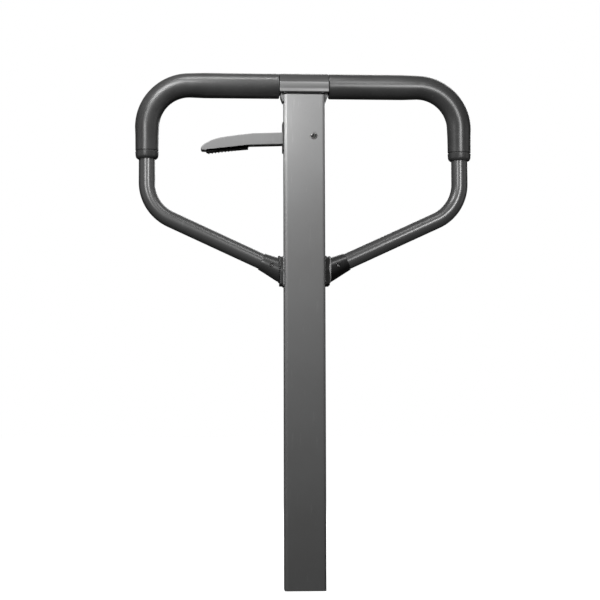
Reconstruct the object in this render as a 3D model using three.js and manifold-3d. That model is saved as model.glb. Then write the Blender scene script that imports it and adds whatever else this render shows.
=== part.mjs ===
// The upper handle of a pallet truck: a box-section shaft, a bent loop with two grips, and a squeeze lever
// whose linkage runs down inside the shaft to an eye for the pump's release chain.
// Millimetres, +Z up along the shaft, +X to the operator's right, -Y towards the operator.
// The origin is the middle of the shaft's lower end.
import * as THREE from "three";
import { mergeVertices } from "three/addons/utils/BufferGeometryUtils.js";
import Module from "manifold-3d";

const wasm = await Module();
wasm.setup();

// ---------------------------------------------------------------- driving dimensions

const GAP = 0.3; // kept between pieces that touch, are pressed together or are welded
const RUNNING = 0.6; // kept round a piece that moves

const PAST = 1; // how far a cutting tool, or a joined piece's root, runs past its neighbour's face
const FAR = 50; // further than any section reaches, for tools that cut right through

const BAR_HEIGHT = 614; // centre of the loop's top bar above the shaft's lower end

const SHAFT = { width: 50, depth: 30, wall: 3, corner: 4 };

// Heights on the loop are measured down from the centre of its top bar.
const LOOP = {
  tube: 20,
  wall: 2,
  halfWidth: 192,
  topRadius: 52,
  lowRadius: 50,
  cornerDrop: 152,
  jointDrop: 229,
};

const GRIP = { wall: 5.2, endDrop: 91.5 };

const SADDLE = {
  overhang: 5,
  wall: 5,
  lip: 3.3,
  floor: 2.5,
  neckInset: 3,
  spigot: 10,
  skirt: 8,
  skirtFoot: 1,
};

const CAP_SCREW = { inset: 10, shank: 4, head: 8, headHeight: 2.2, length: 10 };

const SOCKET = { mouthWall: 1.7, rootWall: 4.2, length: 30, flange: 5, border: 3, inset: 1 };
const SOCKET_PIN = { diameter: 5, bore: 2.6, along: 17 };

const PIVOT = { wallRoom: 2, drop: 64, pin: 8, pinBore: 4.8, pinSlit: 1.2 };

const LEVER = {
  width: 16,
  cheek: 3,
  web: 3,
  hub: 8.5,
  bush: 1.3,
  channelRise: 3.5,
  channelEnd: 115,
  liftDegrees: 14,
  dropDegrees: 8,
};

// The blade's upper and lower edges, as distances left of the pivot and above it.
const BLADE_TOP = [
  [36, 5.6],
  [75, 4.2],
  [95, 1.8],
  [114.5, -1.2],
  [125, -4.4],
  [134, -9.2],
];
const BLADE_BOTTOM = [
  [138.5, -14],
  [137, -17],
  [131, -17.4],
  [118, -15.6],
  [79, -10.6],
  [46, -9.6],
];

const PAD = { from: 80, kink: 118, to: 131, thickness: 2.4, ribInset: 2, ribHeight: 5, ribEnd: 109 };

const GROMMET = { flange: 1.2, lip: 0.7, border: 2.2 };

const ROLLER = { radius: 5, width: 8, rise: 18, pin: 4, fork: 4.5 };
const LEAF = { thickness: 0.8, width: 14, reach: 25, rise: 15, curl: 3 };
const RIVET = { shank: 4, head: 7.6, headHeight: 1.4, tail: 6, tailHeight: 1, spread: 4, above: 9 };

const LINK = { offset: 6, drop: 3.5, pin: 6, head: 9, headHeight: 1.5, tail: 1.9 };
const LINK_CLIP = { diameter: 10, thickness: 0.8, mouth: 3.4 };
const YOKE = { radius: 5, sideRoom: 0.5, length: 20.5, slotPlay: 0.6, thread: 12, hubRoom: 2.2 };
const NUT = { acrossFlats: 10, height: 4 };
const ROD = { diameter: 6 };

const GUIDE = { height: 14, drop: 76, screwX: 8, screwDepth: 9 };
const FOOT_GUIDE = { height: 12, bottom: 34 };
const GUIDE_SCREW = { shank: 4, head: 8, headHeight: 2.2 };

const SPRING = { wire: 1.6, meanDiameter: 11, turns: 6, length: 44 };
const SEAT = { diameter: 15, thickness: 1.5, pin: 2.5, pinLength: 12 };

const COUPLING = { bottom: 56, height: 24 };
const EYE = { height: 14, ring: 12, wire: 6, shankEntry: 12 };

const INSERT = { body: 9, head: 11, headHeight: 1.5, bore: 6.8, length: 8, heights: [25, 65] };

// ---------------------------------------------------------------- places worked out from them

const halfWidth = SHAFT.width / 2;
const halfDepth = SHAFT.depth / 2;
const innerX = halfWidth - SHAFT.wall;
const innerY = halfDepth - SHAFT.wall;
const pivotZ = BAR_HEIGHT - PIVOT.drop;
const pivotX = innerX - LEVER.hub - PIVOT.wallRoom;
const linkX = -LINK.offset;
const linkZ = pivotZ - LINK.drop;
const rollerZ = pivotZ + ROLLER.rise;
const leafZ = rollerZ + ROLLER.radius + GAP;
const guideTop = pivotZ - GUIDE.drop;
const guideBottom = guideTop - GUIDE.height;
const seatTop = guideBottom - SPRING.length;
const yokeBottom = linkZ - YOKE.length;
const tubeRadius = LOOP.tube / 2;
const boreRadius = tubeRadius + GAP;
const gripRadius = boreRadius + GRIP.wall;
const shaftTop = BAR_HEIGHT - tubeRadius - SADDLE.floor;
const saddleReach = halfWidth + SADDLE.overhang;
const capScrewX = saddleReach - CAP_SCREW.inset;
const joint = new THREE.Vector3(halfWidth, 0, BAR_HEIGHT - LOOP.jointDrop);
const lowCorner = new THREE.Vector3(LOOP.halfWidth, 0, BAR_HEIGHT - LOOP.cornerDrop);
const diagonal = lowCorner.clone().sub(joint).normalize();

// ---------------------------------------------------------------- solids

const Y = new THREE.Vector3(0, 1, 0);

/** A closed geometry as a manifold-3d solid. */
function solidOf(geometry) {
  const bare = geometry.index ? geometry.toNonIndexed() : geometry.clone();
  bare.deleteAttribute("normal");
  bare.deleteAttribute("uv");
  const merged = mergeVertices(bare, 1e-4);
  return new wasm.Manifold(
    new wasm.Mesh({
      numProp: 3,
      vertProperties: merged.getAttribute("position").array,
      triVerts: new Uint32Array(merged.index.array),
    }),
  );
}

/** A manifold-3d solid as a geometry. */
function geometryOf(solid) {
  const mesh = solid.getMesh();
  const positions = new Float32Array(mesh.numVert * 3);
  for (let i = 0; i < mesh.numVert; i++) {
    const start = i * mesh.numProp;
    positions.set(mesh.vertProperties.subarray(start, start + 3), i * 3);
  }
  const geometry = new THREE.BufferGeometry();
  geometry.setAttribute("position", new THREE.BufferAttribute(positions, 3));
  geometry.setIndex(new THREE.BufferAttribute(new Uint32Array(mesh.triVerts), 1));
  return geometry;
}

/** Joins geometries into one. */
function join(first, ...others) {
  return geometryOf(others.reduce((whole, g) => whole.add(solidOf(g)), solidOf(first)));
}

/** Cuts tools out of a geometry. */
function cut(base, ...tools) {
  return geometryOf(tools.reduce((whole, g) => whole.subtract(solidOf(g)), solidOf(base)));
}

/** A box between two values on each axis, given in either order. */
function block(x0, x1, y0, y1, z0, z1) {
  const box = new THREE.BoxGeometry(Math.abs(x1 - x0), Math.abs(y1 - y0), Math.abs(z1 - z0));
  return box.translate((x0 + x1) / 2, (y0 + y1) / 2, (z0 + z1) / 2);
}

/** Sides of the polygon that stands for a circle. */
const sidesFor = (radius) => (radius > 9 ? 24 : radius > 3.5 ? 16 : 10);

/** A cone's frustum from one point to another. */
function taper(fromRadius, toRadius, from, to, sides = sidesFor(fromRadius)) {
  const length = from.distanceTo(to);
  const turned = new THREE.Quaternion().setFromUnitVectors(Y, to.clone().sub(from).normalize());
  const middle = from.clone().add(to).multiplyScalar(0.5);
  return new THREE.CylinderGeometry(toRadius, fromRadius, length, sides)
    .applyQuaternion(turned)
    .translate(middle.x, middle.y, middle.z);
}

/** A round bar from one point to another. */
const bar = (radius, from, to, sides) => taper(radius, radius, from, to, sides);

/** A round hole's tool, with its flats no nearer the axis than the radius. */
function hole(radius, from, to) {
  const sides = sidesFor(radius);
  return bar(radius / Math.cos(Math.PI / sides), from, to, sides);
}

const at = (x, y, z) => new THREE.Vector3(x, y, z);
const barX = (radius, x0, x1, y, z) => bar(radius, at(x0, y, z), at(x1, y, z));
const barY = (radius, x, y0, y1, z) => bar(radius, at(x, y0, z), at(x, y1, z));
const barZ = (radius, x, y, z0, z1) => bar(radius, at(x, y, z0), at(x, y, z1));
const holeX = (radius, x0, x1, y, z) => hole(radius, at(x0, y, z), at(x1, y, z));
const holeY = (radius, x, y0, y1, z) => hole(radius, at(x, y0, z), at(x, y1, z));
const holeZ = (radius, x, y, z0, z1) => hole(radius, at(x, y, z0), at(x, y, z1));

/** A hexagonal bar standing along Z, with two of its flats facing Y. */
function hexZ(acrossFlats, x, y, z0, z1) {
  return bar(acrossFlats / Math.sqrt(3), at(x, y, z0), at(x, y, z1), 6);
}

/** A rectangle with round corners, centred on the origin. */
function roundedRectangle(width, height, corner) {
  const x = width / 2;
  const y = height / 2;
  const shape = new THREE.Shape();
  shape.absarc(x - corner, y - corner, corner, 0, Math.PI / 2);
  shape.absarc(-x + corner, y - corner, corner, Math.PI / 2, Math.PI);
  shape.absarc(-x + corner, -y + corner, corner, Math.PI, (3 * Math.PI) / 2);
  shape.absarc(x - corner, -y + corner, corner, (3 * Math.PI) / 2, 2 * Math.PI);
  return shape;
}

/** A straight-sided shape through points. */
const outline = (points) => new THREE.Shape(points.map(([x, y]) => new THREE.Vector2(x, y)));

/** A shape in X and Y raised from one height to another. */
function prismZ(shape, z0, z1, curveSegments = 3) {
  const geometry = new THREE.ExtrudeGeometry(shape, {
    depth: z1 - z0,
    bevelEnabled: false,
    curveSegments,
  });
  return geometry.translate(0, 0, z0);
}

/** A shape in X and Z, thickened evenly either side of Y = 0. */
function prismY(shape, width, curveSegments = 6) {
  const geometry = new THREE.ExtrudeGeometry(shape, {
    depth: width,
    bevelEnabled: false,
    curveSegments,
  });
  return geometry.translate(0, 0, -width / 2).rotateX(Math.PI / 2);
}

const BEND_STEP = THREE.MathUtils.degToRad(15);

/** Path through corners in the XZ plane, rounded off, that a sweep steps once along each straight. */
class BentPath extends THREE.Curve {
  constructor(corners) {
    super();
    this.stations = [];
    corners.forEach(({ point, radius = 0 }, i) => {
      if (radius === 0) {
        const other = i === 0 ? corners[1].point : corners[i - 1].point;
        const towards = i === 0 ? other.clone().sub(point) : point.clone().sub(other);
        this.stations.push({ point, tangent: towards.normalize() });
        return;
      }
      const arriving = point.clone().sub(corners[i - 1].point).normalize();
      const leaving = corners[i + 1].point.clone().sub(point).normalize();
      const turn = arriving.angleTo(leaving);
      const setback = radius * Math.tan(turn / 2);
      const inward = leaving.clone().sub(arriving).normalize();
      const centre = point.clone().addScaledVector(inward, radius / Math.cos(turn / 2));
      const spin = arriving.clone().cross(leaving).normalize();
      const start = point.clone().addScaledVector(arriving, -setback).sub(centre);
      const bendSteps = Math.ceil(turn / BEND_STEP);
      for (let k = 0; k <= bendSteps; k++) {
        const angle = (turn * k) / bendSteps;
        this.stations.push({
          point: start.clone().applyAxisAngle(spin, angle).add(centre),
          tangent: arriving.clone().applyAxisAngle(spin, angle),
        });
      }
    });
  }

  get steps() {
    return this.stations.length - 1;
  }

  stationAt(t) {
    return this.stations[Math.round(t * this.steps)];
  }

  getPointAt(t) {
    return this.stationAt(t).point.clone();
  }

  getTangentAt(t) {
    return this.stationAt(t).tangent.clone();
  }
}

/** A round tube swept along a bent path. */
function sweptTube(path, outerRadius, innerRadius, sides = 16) {
  const shape = new THREE.Shape();
  shape.absarc(0, 0, outerRadius, 0, 2 * Math.PI);
  const bore = new THREE.Path();
  bore.absarc(0, 0, innerRadius / Math.cos(Math.PI / sides), 0, 2 * Math.PI);
  shape.holes.push(bore);
  return new THREE.ExtrudeGeometry(shape, {
    steps: path.steps,
    extrudePath: path,
    curveSegments: sides / 2,
  });
}

// ---------------------------------------------------------------- finishes and assembly

const finish = (color, roughness, metalness) =>
  new THREE.MeshStandardMaterial({ color, roughness, metalness });

const FINISHES = {
  greyPaint: finish(0x83868a, 0.45, 0.3),
  tubePaint: finish(0x55585c, 0.4, 0.4),
  blackGrip: finish(0x2c2d2f, 0.6, 0.0),
  blackPlastic: finish(0x232426, 0.5, 0.0),
  nylon: finish(0xd9d6cc, 0.5, 0.0),
  zinc: finish(0xb4b7ba, 0.35, 0.9),
  springSteel: finish(0x6f7378, 0.3, 0.9),
  brass: finish(0xb08d4a, 0.35, 0.9),
};

const handle = new THREE.Group();

/** Adds one named piece to the handle. */
function add(name, geometry, material) {
  const mesh = new THREE.Mesh(geometry, material);
  mesh.name = name;
  handle.add(mesh);
}

// ---------------------------------------------------------------- shaft

const leverReach = pivotX + halfWidth; // from the pivot to the outside of the wall that the lever leaves by
const lift = THREE.MathUtils.degToRad(LEVER.liftDegrees);
const drop = THREE.MathUtils.degToRad(LEVER.dropDegrees);
const bladeTopRise = BLADE_TOP[0][1];
const bladeBottomFall = -BLADE_BOTTOM[BLADE_BOTTOM.length - 1][1];
const slotPlay = 2.4; // between the blade at its limits and the grommet
const slotTop = pivotZ + leverReach * Math.tan(lift) + bladeTopRise / Math.cos(lift) + slotPlay;
const slotBottom = pivotZ - leverReach * Math.tan(drop) - bladeBottomFall / Math.cos(drop) - slotPlay;
const slotHalf = LEVER.width / 2 + RUNNING + GROMMET.lip + GAP;

const upperScrewZ = guideBottom + GUIDE.height / 2;
const footScrewZ = FOOT_GUIDE.bottom + FOOT_GUIDE.height / 2;

/** Shaft with the lever slot, the pin, screw, rivet and insert holes, and square ends. */
function shaftTube() {
  const section = roundedRectangle(SHAFT.width, SHAFT.depth, SHAFT.corner);
  section.holes.push(
    new THREE.Path(
      roundedRectangle(innerX * 2, innerY * 2, SHAFT.corner - SHAFT.wall).getPoints(3),
    ),
  );
  const tools = [
    block(-halfWidth - PAST, -innerX + PAST, -slotHalf, slotHalf, slotBottom, slotTop),
    holeY(PIVOT.pin / 2 + GAP, pivotX, -halfDepth - PAST, halfDepth + PAST, pivotZ),
  ];
  for (const z of [upperScrewZ, footScrewZ]) {
    tools.push(
      holeY(GUIDE_SCREW.shank / 2 + GAP, GUIDE.screwX, innerY - PAST, halfDepth + PAST, z),
      holeY(
        GUIDE_SCREW.head / 2 + GAP,
        GUIDE.screwX,
        halfDepth - GUIDE_SCREW.headHeight - GAP,
        halfDepth + PAST,
        z,
      ),
    );
  }
  for (const y of [-RIVET.spread, RIVET.spread]) {
    tools.push(
      holeX(RIVET.shank / 2 + GAP, innerX - PAST, halfWidth + PAST, y, leafZ + RIVET.above),
      holeX(
        RIVET.head / 2 + GAP,
        halfWidth - RIVET.headHeight - GAP,
        halfWidth + PAST,
        y,
        leafZ + RIVET.above,
      ),
    );
  }
  for (const side of [-1, 1]) {
    for (const z of INSERT.heights) {
      tools.push(
        holeX(INSERT.body / 2 + GAP, side * (innerX - PAST), side * (halfWidth + PAST), 0, z),
        holeX(
          INSERT.head / 2 + GAP,
          side * (halfWidth - INSERT.headHeight - GAP),
          side * (halfWidth + PAST),
          0,
          z,
        ),
      );
    }
  }
  return cut(prismZ(section, 0, shaftTop), ...tools);
}

/** Threaded insert for a bolt of the pump's handle socket, on one side at one height. */
function insert(side, z) {
  const outside = side * halfWidth;
  const head = barX(INSERT.head / 2, outside, outside - side * INSERT.headHeight, 0, z);
  const body = barX(INSERT.body / 2, outside, outside - side * INSERT.length, 0, z);
  const bore = barX(
    INSERT.bore / 2,
    outside + side * PAST,
    outside - side * (INSERT.length + PAST),
    0,
    z,
  );
  return cut(join(head, body), bore);
}

/** Dust frame round the lever slot: a flange outside the wall and a lip through it. */
function slotGrommet() {
  const lipHalf = slotHalf - GAP;
  const openHalf = lipHalf - GROMMET.lip;
  const flangeHalf = openHalf + GROMMET.border;
  const outer = -halfWidth - GAP - GROMMET.flange;
  const low = slotBottom + GAP;
  const high = slotTop - GAP;
  const extra = GROMMET.border - GROMMET.lip;
  return cut(
    join(
      block(outer, -halfWidth - GAP, -flangeHalf, flangeHalf, low - extra, high + extra),
      block(outer, -innerX, -lipHalf, lipHalf, low, high),
    ),
    block(
      outer - PAST,
      -innerX + PAST,
      -openHalf,
      openHalf,
      low + GROMMET.lip,
      high - GROMMET.lip,
    ),
  );
}

/** Countersunk screw from the back of the shaft into a guide. */
function guideScrew(z) {
  const head = barY(
    GUIDE_SCREW.head / 2,
    GUIDE.screwX,
    halfDepth - GUIDE_SCREW.headHeight,
    halfDepth,
    z,
  );
  const shank = barY(
    GUIDE_SCREW.shank / 2,
    GUIDE.screwX,
    innerY - GUIDE.screwDepth,
    halfDepth - PAST,
    z,
  );
  return join(head, shank);
}

/** Nylon plug that fills the shaft and guides the rod through it. */
function guidePlug(bottom, height, rodHole) {
  const section = roundedRectangle(
    (innerX - GAP) * 2,
    (innerY - GAP) * 2,
    SHAFT.corner - SHAFT.wall,
  );
  return cut(
    prismZ(section, bottom, bottom + height),
    holeZ(rodHole, linkX, 0, bottom - PAST, bottom + height + PAST),
    holeY(
      GUIDE_SCREW.shank / 2 + GAP,
      GUIDE.screwX,
      innerY - GUIDE.screwDepth - GAP,
      innerY + PAST,
      bottom + height / 2,
    ),
  );
}

const saddleRadius = boreRadius + SADDLE.wall;

/** Head of the shaft: a cradle for the loop's bar, with a spigot inside the shaft and skirts outside. */
function saddle() {
  const reach = saddleReach;
  const cradle = cut(
    barX(saddleRadius, -reach, reach, 0, BAR_HEIGHT),
    block(-reach - PAST, reach + PAST, -FAR, FAR, BAR_HEIGHT - FAR, shaftTop + GAP),
  );
  const neck = block(
    -halfWidth + SADDLE.neckInset,
    halfWidth - SADDLE.neckInset,
    -halfDepth + SADDLE.neckInset,
    halfDepth - SADDLE.neckInset,
    shaftTop + GAP,
    BAR_HEIGHT,
  );
  const skirts = [-1, 1].map((side) => {
    const wedge = outline([
      [side * (halfWidth + GAP), shaftTop + 2 * GAP],
      [side * (reach - SADDLE.skirtFoot), shaftTop + 2 * GAP],
      [side * (halfWidth + SADDLE.skirtFoot), shaftTop - SADDLE.skirt],
      [side * (halfWidth + GAP), shaftTop - SADDLE.skirt],
    ]);
    return prismY(wedge, 2 * (tubeRadius - GAP));
  });
  const spigot = block(
    -innerX + GAP * 2,
    innerX - GAP * 2,
    -innerY + GAP * 2,
    innerY - GAP * 2,
    shaftTop - SADDLE.spigot,
    BAR_HEIGHT,
  );
  return cut(
    join(cradle, neck, spigot, ...skirts),
    holeX(boreRadius, -reach - PAST, reach + PAST, 0, BAR_HEIGHT),
    block(-reach - PAST, reach + PAST, -FAR, FAR, BAR_HEIGHT + SADDLE.lip, BAR_HEIGHT + FAR),
  );
}

/** Cover over the loop's bar between the grips. */
function bridgeCap() {
  const reach = saddleReach;
  const top = BAR_HEIGHT + gripRadius;
  const tools = [
    holeX(boreRadius, -reach - PAST, reach + PAST, 0, BAR_HEIGHT),
    block(-reach - PAST, reach + PAST, -FAR, FAR, BAR_HEIGHT - FAR, BAR_HEIGHT + SADDLE.lip + GAP),
  ];
  for (const x of [-capScrewX, capScrewX]) {
    tools.push(
      holeZ(CAP_SCREW.shank / 2 + GAP, x, 0, BAR_HEIGHT, top + PAST),
      holeZ(CAP_SCREW.head / 2 + GAP, x, 0, top - CAP_SCREW.headHeight - 2 * GAP, top + PAST),
    );
  }
  return cut(barX(gripRadius, -reach, reach, 0, BAR_HEIGHT), ...tools);
}

/** Screw through the cap into the loop's bar. */
function capScrew(x) {
  const top = BAR_HEIGHT + gripRadius - GAP;
  return join(
    barZ(CAP_SCREW.head / 2, x, 0, top - CAP_SCREW.headHeight, top),
    barZ(CAP_SCREW.shank / 2, x, 0, top - CAP_SCREW.length, top - PAST),
  );
}

add("shaft_tube", shaftTube(), FINISHES.greyPaint);
add("saddle", saddle(), FINISHES.greyPaint);
add("bridge_cap", bridgeCap(), FINISHES.blackPlastic);
add("cap_screw_left", capScrew(-capScrewX), FINISHES.zinc);
add("cap_screw_right", capScrew(capScrewX), FINISHES.zinc);
add("slot_grommet", slotGrommet(), FINISHES.blackPlastic);
add("upper_guide", guidePlug(guideBottom, GUIDE.height, ROD.diameter / 2 + RUNNING), FINISHES.nylon);
add(
  "foot_guide",
  guidePlug(FOOT_GUIDE.bottom, FOOT_GUIDE.height, EYE.wire / 2 + RUNNING),
  FINISHES.nylon,
);
add("upper_guide_screw", guideScrew(upperScrewZ), FINISHES.zinc);
add("foot_guide_screw", guideScrew(footScrewZ), FINISHES.zinc);
for (const [sideName, side] of [
  ["left", -1],
  ["right", 1],
]) {
  INSERT.heights.forEach((z, i) => {
    add(`threaded_insert_${sideName}_${i + 1}`, insert(side, z), FINISHES.zinc);
  });
}

// ---------------------------------------------------------------- loop and grips

const cornerAt = (x, z, radius) => ({ point: at(x, 0, z), radius });
const pinCentre = (side) => {
  const point = joint.clone().addScaledVector(diagonal, SOCKET_PIN.along);
  return at(side * point.x, 0, point.z);
};

const socketRoot = boreRadius + SOCKET.rootWall;
const socketMouth = boreRadius + SOCKET.mouthWall;

/** Room for the shaft where the loop's ends meet it. */
function shaftRoom() {
  const reach = halfWidth + GAP;
  const tall = LOOP.cornerDrop - gripRadius;
  return block(-reach, reach, -FAR, FAR, joint.z - tall, joint.z + tall);
}

/** Loop of bent tube, from one side of the shaft over the top to the other. */
function loopTube() {
  const inside = joint.clone().addScaledVector(diagonal, -SHAFT.wall * 4);
  const path = new BentPath([
    { point: at(-inside.x, 0, inside.z) },
    cornerAt(-lowCorner.x, lowCorner.z, LOOP.lowRadius),
    cornerAt(-LOOP.halfWidth, BAR_HEIGHT, LOOP.topRadius),
    cornerAt(LOOP.halfWidth, BAR_HEIGHT, LOOP.topRadius),
    cornerAt(lowCorner.x, lowCorner.z, LOOP.lowRadius),
    { point: inside },
  ]);
  const tools = [shaftRoom()];
  for (const side of [-1, 1]) {
    const pin = pinCentre(side);
    tools.push(
      holeY(SOCKET_PIN.diameter / 2 + GAP, pin.x, -FAR, FAR, pin.z),
      holeZ(
        CAP_SCREW.shank / 2 + GAP,
        side * capScrewX,
        0,
        BAR_HEIGHT,
        BAR_HEIGHT + FAR,
      ),
    );
  }
  return cut(sweptTube(path, tubeRadius, tubeRadius - LOOP.wall), ...tools);
}

/** Sleeve over one half of the bar, its corner and the top of the side. */
function grip(side) {
  const path = new BentPath([
    { point: at(side * (saddleReach + GAP), 0, BAR_HEIGHT) },
    cornerAt(side * LOOP.halfWidth, BAR_HEIGHT, LOOP.topRadius),
    { point: at(side * LOOP.halfWidth, 0, BAR_HEIGHT - GRIP.endDrop) },
  ]);
  return sweptTube(path, gripRadius, boreRadius);
}

/** Tapered collar with a flange, which holds one end of the loop against the shaft. */
function socket(side) {
  const start = joint.clone().addScaledVector(diagonal, -SHAFT.wall * 4);
  const end = joint.clone().addScaledVector(diagonal, SOCKET.length);
  start.x *= side;
  end.x *= side;
  const past = end.clone().multiplyScalar(2).sub(start);
  const flange = block(
    side * (halfWidth + GAP),
    side * (halfWidth + GAP + SOCKET.flange),
    -halfDepth + SOCKET.inset,
    halfDepth - SOCKET.inset,
    joint.z - socketRoot - SOCKET.border,
    joint.z + socketRoot + SOCKET.border,
  );
  const pin = pinCentre(side);
  return cut(
    join(taper(socketRoot, socketMouth, start, end), flange),
    shaftRoom(),
    hole(boreRadius, start, past),
    holeY(SOCKET_PIN.diameter / 2 + GAP, pin.x, -FAR, FAR, pin.z),
  );
}

/** Rolled spring pin through a socket and the loop's end. */
function socketPin(side) {
  const pin = pinCentre(side);
  const reach = socketMouth;
  return cut(
    barY(SOCKET_PIN.diameter / 2, pin.x, -reach, reach, pin.z),
    barY(SOCKET_PIN.bore / 2, pin.x, -reach - PAST, reach + PAST, pin.z),
  );
}

add("loop_tube", loopTube(), FINISHES.tubePaint);
for (const [sideName, side] of [
  ["left", -1],
  ["right", 1],
]) {
  add(`grip_${sideName}`, grip(side), FINISHES.blackGrip);
  add(`loop_socket_${sideName}`, socket(side), FINISHES.tubePaint);
  add(`socket_pin_${sideName}`, socketPin(side), FINISHES.springSteel);
}

// ---------------------------------------------------------------- lever and pivot

const hubHalf = LEVER.width / 2;
const leverPoint = ([left, up]) => [pivotX - left, pivotZ + up];
const bushOuter = PIVOT.pin / 2 + GAP + LEVER.bush;

/** Outline of the blade in X and Z, from the hub to the tip and back. */
function bladeShape() {
  const root = LEVER.hub - PAST;
  return outline([[0, root], ...BLADE_TOP, ...BLADE_BOTTOM, [0, -root]].map(leverPoint));
}

/** Outline of the channel between the blade's cheeks, open below. */
function channelShape() {
  const ceiling = BLADE_TOP.filter(([left]) => left <= LEVER.channelEnd).map(([left, up]) => [
    left,
    up - LEVER.web,
  ]);
  const start = pivotX - (linkX + YOKE.radius + YOKE.hubRoom);
  const end = ceiling[ceiling.length - 1][0];
  return outline(
    [[start, LEVER.channelRise], ...ceiling, [end, -FAR], [start, -FAR]].map(leverPoint),
  );
}

/** Squeeze lever: a channel-section blade, a hub, and a fork above it for the detent roller. */
function controlLever() {
  const armTop = rollerZ;
  const arm = join(
    block(pivotX - ROLLER.fork, pivotX + ROLLER.fork, -hubHalf, hubHalf, pivotZ, armTop),
    barY(ROLLER.fork, pivotX, -hubHalf, hubHalf, armTop),
  );
  const whole = join(
    prismY(bladeShape(), LEVER.width),
    barY(LEVER.hub, pivotX, -hubHalf, hubHalf, pivotZ),
    arm,
  );
  const rollerHalf = ROLLER.width / 2 + RUNNING;
  return cut(
    whole,
    prismY(channelShape(), LEVER.width - 2 * LEVER.cheek),
    holeY(bushOuter + GAP, pivotX, -hubHalf - PAST, hubHalf + PAST, pivotZ),
    block(
      pivotX - FAR,
      pivotX + FAR,
      -rollerHalf,
      rollerHalf,
      rollerZ - ROLLER.radius - RUNNING,
      rollerZ + FAR,
    ),
    holeY(ROLLER.pin / 2 + GAP, pivotX, -hubHalf - PAST, hubHalf + PAST, rollerZ),
    holeY(LINK.pin / 2 + GAP, linkX, -hubHalf - PAST, hubHalf + PAST, linkZ),
  );
}

/** Height above the pivot of the blade's lower edge at a distance left of it. */
function bladeBottomAt(left) {
  const edge = [...BLADE_BOTTOM].reverse();
  const i = edge.findIndex(([reach]) => reach >= left);
  const [l0, u0] = edge[i - 1];
  const [l1, u1] = edge[i];
  return u0 + ((u1 - u0) * (left - l0)) / (l1 - l0);
}

/** Finger pad under the outer end of the blade, with a rib up into its channel. */
function leverPad() {
  const face = [PAD.from, PAD.kink, PAD.to].map((left) => [left, bladeBottomAt(left) - GAP]);
  const underside = face.map(([left, up]) => [left, up - PAD.thickness]).reverse();
  const ribSides = [PAD.from + PAD.ribInset, PAD.ribEnd];
  const ribFoot = ribSides.map((left) => [left, bladeBottomAt(left) - GAP - PAD.thickness / 2]);
  const ribTop = ribSides.map((left) => [left, bladeBottomAt(left) + PAD.ribHeight]).reverse();
  return join(
    prismY(outline([...face, ...underside].map(leverPoint)), LEVER.width),
    prismY(
      outline([...ribFoot, ...ribTop].map(leverPoint)),
      LEVER.width - 2 * LEVER.cheek - 2 * GAP,
    ),
  );
}

/** Slit, rolled spring pin that the lever turns on. */
function pivotPin() {
  const radius = PIVOT.pin / 2;
  return cut(
    barY(radius, pivotX, -halfDepth, halfDepth, pivotZ),
    barY(PIVOT.pinBore / 2, pivotX, -halfDepth - PAST, halfDepth + PAST, pivotZ),
    block(
      pivotX - radius - PAST,
      pivotX - PAST,
      -halfDepth - PAST,
      halfDepth + PAST,
      pivotZ - PIVOT.pinSlit / 2,
      pivotZ + PIVOT.pinSlit / 2,
    ),
  );
}

/** Thrust washer between the hub and the wall, in front or behind. */
function pivotWasher(side) {
  const from = side * (hubHalf + GAP);
  const to = side * (innerY - GAP);
  return cut(
    barY(LEVER.hub, pivotX, from, to, pivotZ),
    holeY(PIVOT.pin / 2 + GAP, pivotX, from - side * PAST, to + side * PAST, pivotZ),
  );
}

/** Bush in the lever's hub. */
function pivotBush() {
  return cut(
    barY(bushOuter, pivotX, -hubHalf, hubHalf, pivotZ),
    holeY(PIVOT.pin / 2 + GAP, pivotX, -hubHalf - PAST, hubHalf + PAST, pivotZ),
  );
}

/** Detent roller that rides under the leaf spring. */
function detentRoller() {
  const half = ROLLER.width / 2;
  return cut(
    barY(ROLLER.radius, pivotX, -half, half, rollerZ),
    holeY(ROLLER.pin / 2 + GAP, pivotX, -half - PAST, half + PAST, rollerZ),
  );
}

/** Leaf spring riveted inside the right wall, its blade lying over the roller. */
function detentLeaf() {
  const outside = innerX - GAP;
  const inside = outside - LEAF.thickness;
  const tip = outside - LEAF.reach;
  const shape = outline([
    [outside, leafZ],
    [outside, leafZ + LEAF.rise],
    [inside, leafZ + LEAF.rise],
    [inside, leafZ + LEAF.thickness],
    [tip, leafZ + LEAF.thickness],
    [tip - LEAF.curl, leafZ + LEAF.thickness + LEAF.curl],
    [tip - LEAF.curl, leafZ + LEAF.curl],
    [tip, leafZ],
  ]);
  const holes = [-RIVET.spread, RIVET.spread].map((y) =>
    holeX(RIVET.shank / 2 + GAP, inside - PAST, outside + PAST, y, leafZ + RIVET.above),
  );
  return cut(prismY(shape, LEAF.width), ...holes);
}

/** Flush rivet through the right wall and the leaf spring. */
function leafRivet(y) {
  const z = leafZ + RIVET.above;
  const leafInside = innerX - GAP - LEAF.thickness;
  return join(
    barX(RIVET.head / 2, halfWidth - RIVET.headHeight, halfWidth, y, z),
    barX(RIVET.shank / 2, leafInside - GAP - RIVET.tailHeight, halfWidth - PAST, y, z),
    barX(RIVET.tail / 2, leafInside - GAP - RIVET.tailHeight, leafInside - GAP, y, z),
  );
}

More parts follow.
